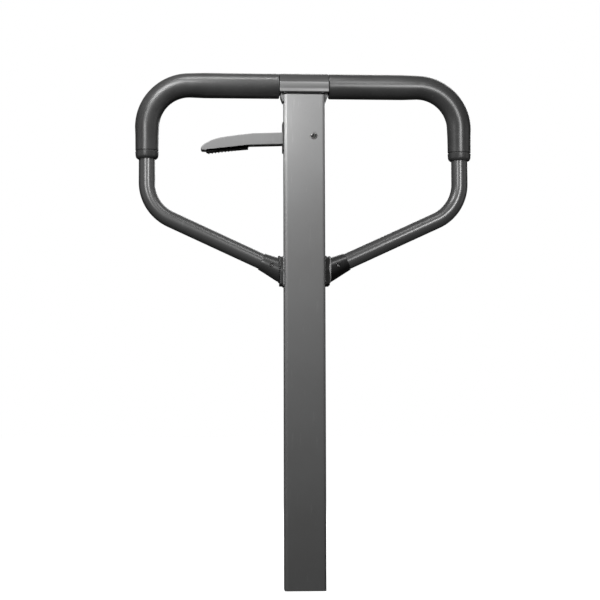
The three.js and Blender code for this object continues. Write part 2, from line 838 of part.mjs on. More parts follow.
add("control_lever", controlLever(), FINISHES.greyPaint);
add("lever_pad", leverPad(), FINISHES.blackGrip);
add("pivot_pin", pivotPin(), FINISHES.springSteel);
add("pivot_bush", pivotBush(), FINISHES.brass);
add("pivot_washer_front", pivotWasher(-1), FINISHES.nylon);
add("pivot_washer_back", pivotWasher(1), FINISHES.nylon);
add("detent_roller", detentRoller(), FINISHES.zinc);
add("roller_pin", barY(ROLLER.pin / 2, pivotX, -hubHalf, hubHalf, rollerZ), FINISHES.zinc);
add("detent_leaf_spring", detentLeaf(), FINISHES.springSteel);
add("leaf_rivet_front", leafRivet(-RIVET.spread), FINISHES.zinc);
add("leaf_rivet_back", leafRivet(RIVET.spread), FINISHES.zinc);

// ---------------------------------------------------------------- linkage inside the shaft

const rodRadius = ROD.diameter / 2;
const nutTop = yokeBottom - GAP;
const nutBottom = nutTop - NUT.height;
const couplingTop = COUPLING.bottom + COUPLING.height;
const couplingMiddle = COUPLING.bottom + COUPLING.height / 2;
const rodBottom = couplingMiddle + GAP;
const rodTop = yokeBottom + YOKE.thread;
const seatPinZ = seatTop - SEAT.thickness - GAP - SEAT.pin / 2;

/** Link pin through the lever's cheeks and the yoke, with its head in front. */
function linkPin() {
  const headInside = -hubHalf - GAP;
  return join(
    barY(LINK.pin / 2, linkX, headInside - PAST, hubHalf + LINK.tail, linkZ),
    barY(LINK.head / 2, linkX, headInside - LINK.headHeight, headInside, linkZ),
  );
}

/** Open retaining ring behind the lever on the link pin. */
function linkClip() {
  const from = hubHalf + GAP;
  const to = from + LINK_CLIP.thickness;
  return cut(
    barY(LINK_CLIP.diameter / 2, linkX, from, to, linkZ),
    holeY(LINK.pin / 2 + GAP, linkX, from - PAST, to + PAST, linkZ),
    block(
      linkX - LINK_CLIP.mouth / 2,
      linkX + LINK_CLIP.mouth / 2,
      from - PAST,
      to + PAST,
      linkZ - LINK_CLIP.diameter,
      linkZ,
    ),
  );
}

/** Yoke on the rod's upper end, with a slotted eye that lets the link pin follow its arc. */
function rodYoke() {
  const half = LEVER.width / 2 - LEVER.cheek - YOKE.sideRoom;
  const slotRadius = LINK.pin / 2 + GAP;
  const body = join(
    block(linkX - YOKE.radius, linkX + YOKE.radius, -half, half, yokeBottom, linkZ),
    barY(YOKE.radius, linkX, -half, half, linkZ),
  );
  const slot = join(
    holeY(slotRadius, linkX - YOKE.slotPlay, -half - PAST, half + PAST, linkZ),
    holeY(slotRadius, linkX + YOKE.slotPlay, -half - PAST, half + PAST, linkZ),
  );
  return cut(
    body,
    slot,
    holeZ(rodRadius + GAP, linkX, 0, yokeBottom - PAST, rodTop + GAP),
  );
}

/** Pull rod between the yoke and the coupling nut, drilled for the spring seat's pin. */
function pullRod() {
  return cut(
    barZ(rodRadius, linkX, 0, rodBottom, rodTop),
    holeY(SEAT.pin / 2 + GAP, linkX, -10, 10, seatPinZ),
  );
}

/** Hexagon nut on the linkage's axis. */
function nut(bottom, height) {
  return cut(
    hexZ(NUT.acrossFlats, linkX, 0, bottom, bottom + height),
    holeZ(rodRadius + GAP, linkX, 0, bottom - PAST, bottom + height + PAST),
  );
}

/** Washer that the return spring pushes down on. */
function springSeat() {
  return cut(
    barZ(SEAT.diameter / 2, linkX, 0, seatTop - SEAT.thickness, seatTop),
    holeZ(rodRadius + GAP, linkX, 0, seatTop - SEAT.thickness - PAST, seatTop + PAST),
  );
}

/** Path of the return spring's wire. */
class Helix extends THREE.Curve {
  constructor(radius, bottom, top, turns) {
    super();
    Object.assign(this, { radius, bottom, top, turns });
  }

  getPoint(t, target = new THREE.Vector3()) {
    const angle = 2 * Math.PI * this.turns * t;
    return target.set(
      linkX + this.radius * Math.cos(angle),
      this.radius * Math.sin(angle),
      this.bottom + (this.top - this.bottom) * t,
    );
  }
}

/** Return spring round the rod, between its seat and the upper guide. */
function returnSpring() {
  const inset = SPRING.wire / 2 + GAP;
  const path = new Helix(
    SPRING.meanDiameter / 2,
    seatTop + inset,
    guideBottom - inset,
    SPRING.turns,
  );
  const wire = new THREE.Shape();
  wire.absarc(0, 0, SPRING.wire / 2, 0, 2 * Math.PI);
  return new THREE.ExtrudeGeometry(wire, {
    steps: SPRING.turns * 11,
    extrudePath: path,
    curveSegments: 3,
  });
}

/** Eye bolt for the pump's release chain, running up through the foot guide into the coupling nut. */
function eyeBolt() {
  const ring = new THREE.TorusGeometry(EYE.ring / 2, EYE.wire / 2, 8, 18)
    .rotateY(Math.PI / 2)
    .translate(linkX, 0, EYE.height);
  const shankTop = COUPLING.bottom + EYE.shankEntry - GAP;
  return join(ring, barZ(EYE.wire / 2, linkX, 0, EYE.height + EYE.ring / 2, shankTop));
}

add("link_pin", linkPin(), FINISHES.zinc);
add("link_clip", linkClip(), FINISHES.springSteel);
add("rod_yoke", rodYoke(), FINISHES.zinc);
add("yoke_lock_nut", nut(nutBottom, NUT.height), FINISHES.zinc);
add("pull_rod", pullRod(), FINISHES.zinc);
add("spring_seat", springSeat(), FINISHES.zinc);
add(
  "seat_pin",
  barY(SEAT.pin / 2, linkX, -SEAT.pinLength / 2, SEAT.pinLength / 2, seatPinZ),
  FINISHES.springSteel,
);
add("return_spring", returnSpring(), FINISHES.springSteel);
add("coupling_nut", nut(COUPLING.bottom, couplingTop - COUPLING.bottom), FINISHES.zinc);
add("eye_lock_nut", nut(COUPLING.bottom - GAP - NUT.height, NUT.height), FINISHES.zinc);
add("chain_eye_bolt", eyeBolt(), FINISHES.zinc);

export default handle;
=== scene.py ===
"""Looks of a pallet truck's handle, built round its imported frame.

Metres, +Z up along the shaft, +X to the right seen from the operator's side, -Y towards the operator.
"""

import logging
import math
from collections.abc import Sequence
from dataclasses import dataclass, field
from enum import Enum
from typing import Any

import bmesh
import bpy
from mathutils import Matrix, Vector


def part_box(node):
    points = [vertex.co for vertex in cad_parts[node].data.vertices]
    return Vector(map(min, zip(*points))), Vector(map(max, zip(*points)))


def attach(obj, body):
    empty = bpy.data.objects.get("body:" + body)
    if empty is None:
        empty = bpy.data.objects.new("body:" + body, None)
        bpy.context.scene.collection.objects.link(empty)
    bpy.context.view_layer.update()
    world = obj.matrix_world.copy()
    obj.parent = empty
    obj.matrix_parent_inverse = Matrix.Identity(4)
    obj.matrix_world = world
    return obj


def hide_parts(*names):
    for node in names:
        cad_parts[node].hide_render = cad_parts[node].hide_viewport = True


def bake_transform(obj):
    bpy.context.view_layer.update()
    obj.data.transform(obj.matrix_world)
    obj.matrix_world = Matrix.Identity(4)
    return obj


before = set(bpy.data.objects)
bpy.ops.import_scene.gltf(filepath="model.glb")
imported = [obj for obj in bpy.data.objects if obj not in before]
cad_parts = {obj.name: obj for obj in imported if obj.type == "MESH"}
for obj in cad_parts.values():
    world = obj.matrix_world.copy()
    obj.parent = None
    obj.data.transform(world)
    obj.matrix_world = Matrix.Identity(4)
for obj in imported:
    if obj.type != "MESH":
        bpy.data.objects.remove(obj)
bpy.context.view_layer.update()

MM = 0.001
HAIR = 0.3 * MM  # clearance between neighbouring pieces
PAST = 2 * MM  # how far a cutting tool runs past the face that it cuts
WORN = "worn_edge"  # face attribute, 1 on the narrow faces that round off an edge
GRIP_RADIUS = 15.5 * MM  # of the grips, and of the cover between them
BAR_BORE = 10.3 * MM  # radius of whatever the loop's tube runs through
EVEN = (1.0, 1.0, 1.0)  # stretch of a pattern that has the same scale on each axis
LOG = logging.getLogger("handle")

Corner = tuple[float, float, float]
Point2 = tuple[float, float]


class Body(Enum):
    """Bodies of the frame that pieces ride on."""

    FRAME = "frame"
    LEVER = "lever"
    ROLLER = "roller"
    LINKAGE = "linkage"


class Axis(Enum):
    """Direction that a bar or a prism runs in."""

    X = 0
    Y = 1
    Z = 2

    @property
    def along(self) -> Vector:
        """Unit vector of this direction."""
        return Vector([1.0 if i == self.value else 0.0 for i in range(3)])

    def place(self, along: float, u: float, v: float) -> Vector:
        """Point at a distance along the direction.

        Args:
            along: The distance.
            u: First of its other two coordinates.
            v: Second of them.

        Returns:
            The point.
        """
        rest = [u, v]
        rest.insert(self.value, along)
        return Vector(rest)


class Operation(Enum):
    """What a piece does with another solid."""

    ADD = "UNION"
    CUT = "DIFFERENCE"
    KEEP_SHARED = "INTERSECT"


class Side(Enum):
    """Sides of the shaft, each with its sign along X."""

    LEFT = -1.0
    RIGHT = 1.0

    @property
    def word(self) -> str:
        """The side's word in the names of pieces and nodes."""
        return self.name.lower()

    def mirror(self, point: Vector) -> Vector:
        """Place on this side of a point that is given for the right side."""
        return Vector((point.x * self.value, point.y, point.z))


@dataclass(frozen=True)
class Room:
    """Box that one node of the frame takes."""

    low: Vector
    high: Vector

    @classmethod
    def of(cls, node: str) -> "Room":
        """Box of a node by name."""
        return cls(*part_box(node))

    @property
    def centre(self) -> Vector:
        """Middle of the box."""
        return (self.low + self.high) / 2

    @property
    def size(self) -> Vector:
        """Lengths of the box's sides."""
        return self.high - self.low


def bar_height() -> float:
    """Height of the axis of the loop's bar."""
    return Room.of("grip_left").high.z - GRIP_RADIUS


# ---------------------------------------------------------------- shader values and nodes


@dataclass(frozen=True)
class Scatter:
    """Noise that is cut off to scattered patches, which fade in from the low limit to the high one."""

    feature: float
    detail: float
    low: float
    high: float
    stretch: tuple[float, float, float] = EVEN


class Bench:
    """Sets out nodes in one node tree."""

    def __init__(self, tree: bpy.types.NodeTree) -> None:
        """Starts with an emptied tree."""
        self.tree = tree
        tree.nodes.clear()

    def node(
        self,
        kind: str,
        settings: dict[str, Any] | None = None,
        sockets: dict[str | int, Any] | None = None,
    ) -> bpy.types.Node:
        """Makes one node.

        Args:
            kind: Blender's name of the node type.
            settings: Attributes to set first, such as an operation.
            sockets: Inputs by name or number, each a plain value, a socket or a Shade.

        Returns:
            The node.
        """
        made = self.tree.nodes.new(kind)
        for name, value in (settings or {}).items():
            setattr(made, name, value)
        for key, value in (sockets or {}).items():
            self.feed(made.inputs[key], value)
        return made

    def feed(self, socket: bpy.types.NodeSocket, value: Any) -> None:
        """Links a socket or sets it.

        Args:
            socket: The input.
            value: A Shade or an output socket to link, or a plain value to set.
        """
        if isinstance(value, Shade):
            value = value.socket
        if isinstance(value, bpy.types.NodeSocket):
            self.tree.links.new(value, socket)
        else:
            socket.default_value = value

    def shade(self, node: bpy.types.Node, output: str | int = 0) -> "Shade":
        """Output of a node as a value for expressions."""
        return Shade(self, node.outputs[output])

    def object_place(self, stretch: Sequence[float] = EVEN) -> bpy.types.NodeSocket:
        """Object coordinates, stretched.

        Args:
            stretch: Factor on each axis.

        Returns:
            Vector output.
        """
        place = self.node("ShaderNodeTexCoord").outputs["Object"]
        mapping = self.node("ShaderNodeMapping", None, {"Vector": place, "Scale": tuple(stretch)})
        return mapping.outputs[0]

    def noise(self, feature: float, detail: float, stretch: Sequence[float] = EVEN) -> "Shade":
        """Noise over the surface.

        Args:
            feature: Size of its lumps, in metres.
            detail: Number of finer layers.
            stretch: Factor on each axis.

        Returns:
            Value about 0.5, from 0 to 1.
        """
        sockets = {"Vector": self.object_place(stretch), "Scale": 1 / feature, "Detail": detail}
        return self.shade(self.node("ShaderNodeTexNoise", None, sockets))

    def cells(self, feature: float) -> "Shade":
        """Distance to the nearest of scattered points that lie about a feature's size apart."""
        sockets = {"Vector": self.object_place(), "Scale": 1 / feature}
        return self.shade(self.node("ShaderNodeTexVoronoi", None, sockets))

    def span(self, value: "Shade", low: float, high: float) -> "Shade":
        """Share of the way of a value from one limit to another.

        Args:
            value: The value.
            low: Limit that gives 0.
            high: Limit that gives 1.

        Returns:
            Smooth value from 0 to 1.
        """
        settings = {"interpolation_type": "SMOOTHSTEP"}
        node = self.node("ShaderNodeMapRange", settings, {0: value, 1: low, 2: high})
        return self.shade(node)

    def scatter(self, patches: Scatter) -> "Shade":
        """Mask that is 1 on scattered patches."""
        noise = self.noise(patches.feature, patches.detail, patches.stretch)
        return self.span(noise, patches.low, patches.high)

    def worn_edges(self) -> "Shade":
        """Mask of the faces that round off an edge."""
        return self.shade(self.node("ShaderNodeAttribute", {"attribute_name": WORN}), "Fac")

    def mix(self, share: Any, first: Any, second: Any) -> bpy.types.NodeSocket:
        """Mixes two colours.

        Args:
            share: Share of the second colour.
            first: RGBA colour or colour socket.
            second: RGBA colour or colour socket.

        Returns:
            Colour output.
        """
        node = self.node("ShaderNodeMix", {"data_type": "RGBA"}, {0: share, 6: first, 7: second})
        return node.outputs[2]

    def bump(self, height: "Shade", depth: float) -> bpy.types.NodeSocket:
        """Normal bumped by a height from 0 to 1, where 1 stands for a depth in metres."""
        return self.node("ShaderNodeBump", None, {"Distance": depth, "Height": height}).outputs[0]

    def surface(self, inputs: dict[str, Any]) -> None:
        """Ends a material's tree in its shader.

        Args:
            inputs: Value or output for each socket of the shader.
        """
        shader = self.node("ShaderNodeBsdfPrincipled", None, inputs)
        self.node("ShaderNodeOutputMaterial", None, {"Surface": shader.outputs[0]})


@dataclass(frozen=True)
class Shade:
    """A node's output that adds Math nodes when it is used in an expression."""

    bench: Bench
    socket: bpy.types.NodeSocket

    def _math(self, operation: str, first: Any, second: Any) -> "Shade":
        """Adds one Math node.

        Args:
            operation: Blender's name of the operation.
            first: First value.
            second: Second value.

        Returns:
            The result.
        """
        node = self.bench.node("ShaderNodeMath", {"operation": operation}, {0: first, 1: second})
        return Shade(self.bench, node.outputs[0])

    def __add__(self, other: Any) -> "Shade":
        """Sum."""
        return self._math("ADD", self, other)

    def __radd__(self, other: Any) -> "Shade":
        """Sum with the value on the right."""
        return self._math("ADD", other, self)

    def __sub__(self, other: Any) -> "Shade":
        """Difference."""
        return self._math("SUBTRACT", self, other)

    def __rsub__(self, other: Any) -> "Shade":
        """Difference with the value on the right."""
        return self._math("SUBTRACT", other, self)

    def __mul__(self, other: Any) -> "Shade":
        """Product."""
        return self._math("MULTIPLY", self, other)

    def __rmul__(self, other: Any) -> "Shade":
        """Product with the value on the right."""
        return self._math("MULTIPLY", other, self)

    def __truediv__(self, other: Any) -> "Shade":
        """Quotient."""
        return self._math("DIVIDE", self, other)

    def __rtruediv__(self, other: Any) -> "Shade":
        """Quotient with the value below the line."""
        return self._math("DIVIDE", other, self)

    def sine(self) -> "Shade":
        """Sine of an angle in radians."""
        return self._math("SINE", self, 0.0)


# ---------------------------------------------------------------- finishes


def rgba(level: float, warmth: float = 0.0) -> tuple[float, float, float, float]:
    """Near-grey colour.

    Args:
        level: Brightness, linear.
        warmth: Share by which red is raised and blue is lowered.

    Returns:
        RGBA colour.
    """
    return (level * (1 + warmth), level, level * (1 - warmth), 1.0)


@dataclass(frozen=True)
class Finish:
    """A surface, named after the frame's material slot that it stands for."""

    slot: str
    colour: tuple[float, float, float, float]
    roughness: float

    def material(self) -> bpy.types.Material:
        """The finish's material, made when it is first asked for.

        Returns:
            The material.
        """
        name = f"finish_{self.slot}"
        found = bpy.data.materials.get(name)
        if found:
            return found
        made = bpy.data.materials.new(name)
        made.use_nodes = True
        bench = Bench(made.node_tree)
        bench.surface(self.inputs(bench))
        return made

    def inputs(self, bench: Bench) -> dict[str, Any]:
        """Value or output for each socket of the shader; each kind of finish gives its own."""
        raise NotImplementedError


@dataclass(frozen=True)
class Paint(Finish):
    """Sprayed paint on steel, with orange peel, handling marks and edges worn to the metal."""

    peel: float = 1.3 * MM
    peel_depth: float = 0.012 * MM
    wear: float = 0.5
    cloud: float = 60 * MM
    chip: float = 7 * MM
    bare_level: float = 0.42
    coat: float = 0.15
    specks: Scatter = Scatter(0.9 * MM, 1.0, 0.66, 0.74)
    marks: Scatter = Scatter(2.2 * MM, 3.0, 0.64, 0.72, (1.0, 1.0, 0.08))

    def inputs(self, bench: Bench) -> dict[str, Any]:
        """Colour, sheen and relief of the paint.

        Args:
            bench: The material's nodes.

        Returns:
            Value or output for each socket of the shader.
        """
        clouds = bench.noise(self.cloud, 3.0)
        specks, marks = bench.scatter(self.specks), bench.scatter(self.marks)
        chips = Scatter(self.chip, 4.0, 0.78 - 0.3 * self.wear, 0.84 - 0.3 * self.wear)
        bare = bench.worn_edges() * bench.scatter(chips)
        level = self.colour[1]
        dull = bench.mix(clouds, rgba(level * 0.9, 0.01), rgba(level * 1.1, -0.01))
        marked = bench.mix(marks * 0.35, dull, rgba(min(1.0, level * 1.35)))
        dusted = bench.mix(specks * 0.3, marked, rgba(level * 0.6))
        peel = bench.noise(self.peel, 1.0)
        return {
            "Base Color": bench.mix(bare, dusted, rgba(self.bare_level)),
            "Roughness": clouds * 0.1 + (self.roughness - 0.05) + marks * 0.08 + specks * 0.1,
            "Metallic": bare * 0.9,
            "Normal": bench.bump(peel + bare * -1.5, self.peel_depth),
            "Coat Roughness": 0.2,
            "Coat Weight": self.coat - bare * self.coat,
        }


@dataclass(frozen=True)
class Rubber(Finish):
    """Moulded rubber with a fine grain, polished in patches by hands and dusty in its pits."""

    grain: float = 0.55 * MM
    grain_depth: float = 0.012 * MM
    pores: float = 0.25 * MM
    rubbed: Scatter = Scatter(38 * MM, 3.0, 0.3, 0.75)
    dust: Scatter = Scatter(1.6 * MM, 3.0, 0.6, 0.72)

    def inputs(self, bench: Bench) -> dict[str, Any]:
        """Colour, sheen and relief of the rubber.

        Args:
            bench: The material's nodes.

        Returns:
            Value or output for each socket of the shader.
        """
        grain = bench.cells(self.grain)
        rubbed, dust = bench.scatter(self.rubbed), bench.scatter(self.dust)
        level = self.colour[1]
        base = bench.mix(rubbed, rgba(level * 1.12), rgba(level * 0.86))
        return {
            "Base Color": bench.mix(dust * 0.35, base, rgba(level * 2.2, 0.03)),
            "Roughness": self.roughness - rubbed * 0.03 + dust * 0.08 + grain * 0.05,
            "Normal": bench.bump(grain + bench.noise(self.pores, 2.0) * 0.5, self.grain_depth),
        }


@dataclass(frozen=True)
class Moulding(Finish):
    """Plastic moulding: eroded mould texture, faint flow clouds and scuffs."""

    texture: float = 0.35 * MM
    texture_depth: float = 0.02 * MM
    flow: float = 22 * MM
    scuffs: Scatter = Scatter(1.4 * MM, 4.0, 0.66, 0.76, (0.15, 1.0, 1.0))

    def tone(self, factor: float) -> tuple[float, float, float, float]:
        """The finish's colour, made lighter or darker."""
        red, green, blue, _ = (min(1.0, part * factor) for part in self.colour)
        return (red, green, blue, 1.0)

    def inputs(self, bench: Bench) -> dict[str, Any]:
        """Colour, sheen and relief of the plastic.

        Args:
            bench: The material's nodes.

        Returns:
            Value or output for each socket of the shader.
        """
        texture = bench.noise(self.texture, 3.0)
        flow = bench.noise(self.flow, 2.0, (1.0, 1.0, 0.4))
        scuffs = bench.scatter(self.scuffs)
        plain = bench.mix(flow, self.tone(0.88), self.tone(1.12))
        return {
            "Base Color": bench.mix(scuffs * 0.4, plain, self.tone(1.6)),
            "Roughness": flow * 0.12 + (self.roughness - 0.06) + scuffs * 0.15,
            "Normal": bench.bump(texture - scuffs * 0.5, self.texture_depth),
        }


@dataclass(frozen=True)
class Metal(Finish):
    """Bare, plated or oiled metal with fine drawn or turned lines and stained patches."""

    tint: tuple[float, float, float, float]
    lines: tuple[float, float, float] = (1.0, 1.0, 0.1)
    line_width: float = 0.25 * MM
    line_depth: float = 0.004 * MM
    pit: float = 1.1 * MM
    patches: Scatter = Scatter(6 * MM, 4.0, 0.35, 0.7)

    def inputs(self, bench: Bench) -> dict[str, Any]:
        """Colour, sheen and relief of the metal.

        Args:
            bench: The material's nodes.

        Returns:
            Value or output for each socket of the shader.
        """
        patches = bench.scatter(self.patches)
        drawn = bench.noise(self.line_width, 2.0, self.lines)
        pits = bench.span(bench.cells(self.pit), 0.12, 0.02)
        stained = bench.mix(patches * 0.7, self.colour, self.tint)
        bright = bench.mix(bench.worn_edges() * 0.35, stained, rgba(0.75))
        return {
            "Base Color": bench.mix(pits * 0.5, bright, rgba(0.12, 0.1)),
            "Metallic": 1.0 - pits * 0.4,
            "Roughness": patches * 0.12 + (self.roughness - 0.06) + drawn * 0.08 + pits * 0.3,
            "Normal": bench.bump(drawn - pits, self.line_depth),
        }


SHAFT_PAINT = Paint("shaft_paint", rgba(0.27), 0.36, wear=0.35)
LOOP_PAINT = Paint("loop_paint", rgba(0.05), 0.33, peel=1.6 * MM, peel_depth=0.0025 * MM, wear=0.2)
# Painted light: the lever's paint is drawn lighter than the shaft's, though the lever wears the shaft's
# paint, to stand in for the light that the shaft alone gets from its own lamps.
LEVER_PAINT = Paint("lever_paint", rgba(0.37), 0.38, peel=0.9 * MM, wear=0.5)
GRIP_RUBBER = Rubber("grip_rubber", rgba(0.038), 0.33)
BLACK_MOULDING = Moulding("moulded_black", rgba(0.09), 0.4)
NYLON = Moulding("guide_nylon", (0.72, 0.69, 0.62, 1.0), 0.45, texture=0.6 * MM)
ZINC = Metal("zinc_plate", rgba(0.56), 0.3, tint=(0.52, 0.5, 0.42, 1.0))
SPRING_STEEL = Metal("spring_steel", rgba(0.2), 0.3, tint=(0.14, 0.12, 0.11, 1.0))
BRONZE = Metal("bush_brass", (0.56, 0.4, 0.2, 1.0), 0.32, tint=(0.4, 0.26, 0.12, 1.0))


# ---------------------------------------------------------------- outlines and skins


def rounded_corners(corners: Sequence[Corner], closed: bool = True, steps: int = 5) -> list[Point2]:
    """Draws a line through corners, with an arc at each that has a radius.

    Args:
        corners: The corners, each two coordinates and a radius.
        closed: Whether the line comes back to its start.
        steps: Stretches in each arc.

    Returns:
        Points of the line.
    """
    line: list[Point2] = []
    for i, (x, y, radius) in enumerate(corners):
        here = Vector((x, y))
        if radius <= 0 or (not closed and i in (0, len(corners) - 1)):
            line.append((x, y))
            continue
        back = (Vector(corners[i - 1][:2]) - here).normalized()
        onward = (Vector(corners[(i + 1) % len(corners)][:2]) - here).normalized()
        half = back.angle(onward) / 2
        centre = here + (back + onward).normalized() * (radius / math.sin(half))
        arm = here + back * (radius / math.tan(half)) - centre
        turn = math.copysign(math.pi - 2 * half, back.y * onward.x - back.x * onward.y)
        for k in range(steps + 1):
            point = centre + Matrix.Rotation(turn * k / steps, 2) @ arm
            line.append((point.x, point.y))
    return line


def rectangle(x0: float, x1: float, y0: float, y1: float, radius: float, steps: int = 5) -> list[Point2]:
    """Rectangle with round corners.

    Args:
        x0: Low side.
        x1: High side.
        y0: Lower side.
        y1: Upper side.
        radius: Radius of the corners.
        steps: Stretches in each corner.

    Returns:
        Points of the outline, anticlockwise.
    """
    corners = [(x1, y0, radius), (x1, y1, radius), (x0, y1, radius), (x0, y0, radius)]
    return rounded_corners(corners, steps=steps)


def arc(centre: Point2, radius: float, start: float, end: float, steps: int = 24) -> list[Point2]:
    """Points on an arc.

    Args:
        centre: Its centre.
        radius: Its radius.
        start: First angle, in degrees.
        end: Last angle, in degrees.
        steps: Stretches along it.

    Returns:
        The points.
    """
    angles = [math.radians(start + (end - start) * k / steps) for k in range(steps + 1)]
    return [(centre[0] + radius * math.cos(a), centre[1] + radius * math.sin(a)) for a in angles]


def inset(outline: Sequence[Point2], distance: float) -> list[Point2]:
    """Moves each side of an outline inwards.

    Args:
        outline: Points, anticlockwise.
        distance: How far.

    Returns:
        Points of the smaller outline.
    """
    made = []
    for i, here in enumerate(outline):
        before = (Vector(here) - Vector(outline[i - 1])).normalized()
        after = (Vector(outline[(i + 1) % len(outline)]) - Vector(here)).normalized()
        normal = Vector((-(before.y + after.y), before.x + after.x)).normalized()
        lean = max(0.4, normal.dot(Vector((-before.y, before.x))))
        point = Vector(here) + normal * (distance / lean)
        made.append((point.x, point.y))
    return made


def anticlockwise(outline: Sequence[Point2]) -> list[Point2]:
    """Puts an outline in anticlockwise order.

    Args:
        outline: Points, in either order.

    Returns:
        Points, anticlockwise.
    """
    pairs = zip(outline, [*outline[1:], outline[0]])
    area = sum(a[0] * b[1] - b[0] * a[1] for a, b in pairs)
    return list(outline) if area > 0 else list(reversed(outline))


def into_scene(name: str, data: bpy.types.ID) -> bpy.types.Object:
    """Makes an object of a mesh, a light or a camera.

    Args:
        name: The object's name.
        data: The mesh, light or camera.

    Returns:
        The object, at the origin.
    """
    made = bpy.data.objects.new(name, data)
    bpy.context.scene.collection.objects.link(made)
    return made


def new_piece(name: str, mesh: bmesh.types.BMesh) -> bpy.types.Object:
    """Makes an object of a mesh.

    Args:
        name: Its name.
        mesh: The mesh, which is used up.

    Returns:
        The object, at the origin.
    """
    data = bpy.data.meshes.new(name)
    mesh.to_mesh(data)
    mesh.free()
    return into_scene(name, data)


def skin(name: str, rings: Sequence[Sequence[Vector]], around: bool = False) -> bpy.types.Object:
    """Joins rings of points, one after another, into a closed skin.

    Args:
        name: The object's name.
        rings: Rings with the same number of points.
        around: Whether the last ring joins the first, as in a pipe, instead of both being closed off.

    Returns:
        The object.
    """
    mesh = bmesh.new()
    rows = [[mesh.verts.new(p) for p in ring] for ring in rings]
    pairs = list(zip(rows, rows[1:])) + ([(rows[-1], rows[0])] if around else [])
    for near, far in pairs:
        for i in range(len(near)):
            j = (i + 1) % len(near)
            mesh.faces.new((near[i], near[j], far[j], far[i]))
    if not around:
        mesh.faces.new(rows[0])
        mesh.faces.new(rows[-1])
    bmesh.ops.recalc_face_normals(mesh, faces=mesh.faces)
    return new_piece(name, mesh)


def round_steps(radius: float, steps: int) -> list[Point2]:
    """How far in and how far along each ring of a rounded rim lies.

    Args:
        radius: Radius of the rim.
        steps: Stretches in it.

    Returns:
        Pairs from the end face outwards.
    """
    if radius <= 0:
        return [(0.0, 0.0)]
    angles = [math.pi / 2 * k / steps for k in range(steps + 1)]
    return [(radius * (1 - math.sin(a)), radius * (1 - math.cos(a))) for a in angles]


def prism(
    name: str,
    axis: Axis,
    outline: Sequence[Point2],
    start: float,
    end: float,
    rim: float = 0.0,
    steps: int = 3,
) -> bpy.types.Object:
    """Raises an outline along an axis, with rounded rims.

    Args:
        name: The object's name.
        axis: Direction that it is raised in.
        outline: Points in the other two coordinates.
        start: Lower end.
        end: Upper end.
        rim: Radius of the rims.
        steps: Stretches in each rim.

    Returns:
        The object.
    """
    shape = anticlockwise(outline)
    levels = [(inward, start + along) for inward, along in round_steps(rim, steps)]
    levels += [(inward, start + end - along) for inward, along in reversed(levels)]
    rings = [[axis.place(along, u, v) for u, v in inset(shape, inward)] for inward, along in levels]
    return skin(name, rings)


def turned(
    name: str,
    foot: Vector,
    along: Vector,
    profile: Sequence[Point2],
    sides: int = 48,
    around: bool = False,
) -> bpy.types.Object:
    """Turns a profile about an axis.

    Args:
        name: The object's name.
        foot: Point on the axis that distances are measured from.
        along: The axis' direction.
        profile: Distance along the axis and radius of each ring.
        sides: Sides of the rings.
        around: Whether the profile is closed, as for a bored part.

    Returns:
        The object.
    """
    direction = along.normalized()
    across = direction.orthogonal().normalized()
    other = direction.cross(across)
    turns = [2 * math.pi * k / sides for k in range(sides)]
    rings = []
    for distance, radius in profile:
        centre = foot + direction * distance
        rings.append([centre + (across * math.cos(a) + other * math.sin(a)) * radius for a in turns])
    return skin(name, rings, around)


def bar_profile(start: float, end: float, radius: float, rim: float) -> list[Point2]:
    """Profile of a round bar with rounded rims.

    Args:
        start: Lower end.
        end: Upper end.
        radius: The bar's radius.
        rim: Radius of the rims.

    Returns:
        Distance and radius of each ring.
    """
    rims = round_steps(rim, 3)
    lower = [(start + along, radius - inward) for inward, along in rims]
    return lower + [(end - along, radius - inward) for inward, along in reversed(rims)]


def ring_profile(start: float, end: float, bore: float, radius: float, rim: float) -> list[Point2]:
    """Closed profile of a ring with rounded rims.

    Args:
        start: Lower end.
        end: Upper end.
        bore: Radius of its hole.
        radius: Its outer radius.
        rim: Radius of the rims.

    Returns:
        Distance and radius of each ring of points.
    """
    outside = bar_profile(start, end, radius, rim)
    return outside + [(distance, bore + radius - r) for distance, r in reversed(outside)]


def thread_profile(start: float, end: float, radius: float, pitch: float) -> list[Point2]:
    """Profile of a threaded stretch of a bar.

    Args:
        start: Where it starts.
        end: Where it ends.
        radius: Radius over its crests.
        pitch: Distance between crests.

    Returns:
        Distance and radius of each ring.
    """
    count = max(1, round((end - start) / pitch))
    step = (end - start) / count
    depth = 0.6 * step
    profile = [(start, radius - depth)]
    for k in range(count):
        crest = start + (k + 0.5) * step
        profile += [(crest - step * 0.1, radius), (crest + step * 0.1, radius)]
        profile.append((start + (k + 1) * step, radius - depth))
    return profile


# ---------------------------------------------------------------- work on finished skins


def settle(piece: bpy.types.Object) -> None:
    """Makes a piece's modifiers final and removes them.

    Args:
        piece: The piece, with its modifiers.
    """
    bpy.context.view_layer.update()
    graph = bpy.context.evaluated_depsgraph_get()
    made = bpy.data.meshes.new_from_object(
        piece.evaluated_get(graph), preserve_all_data_layers=True, depsgraph=graph
    )
    old = piece.data
    piece.modifiers.clear()
    piece.data = made
    bpy.data.meshes.remove(old)
    made.name = piece.name


def combine(
    piece: bpy.types.Object, operation: Operation, *others: bpy.types.Object
) -> bpy.types.Object:
    """Adds other solids to a piece, or cuts them out of it.

    Args:
        piece: The piece.
        operation: What is done with them.
        others: The other solids, which are used up.

    Returns:
        The piece.
    """
    for other in others:
        modifier = piece.modifiers.new(operation.name, "BOOLEAN")
        modifier.operation = operation.value
        modifier.solver = "MANIFOLD"
        modifier.object = other
        settle(piece)
        if not piece.data.polygons:
            raise RuntimeError(f"{piece.name}: {operation.name} with {other.name} left nothing")
        bpy.data.objects.remove(other)
    return piece


def cut(piece: bpy.types.Object, *tools: bpy.types.Object) -> bpy.types.Object:
    """Cuts tools out of a piece."""
    return combine(piece, Operation.CUT, *tools)


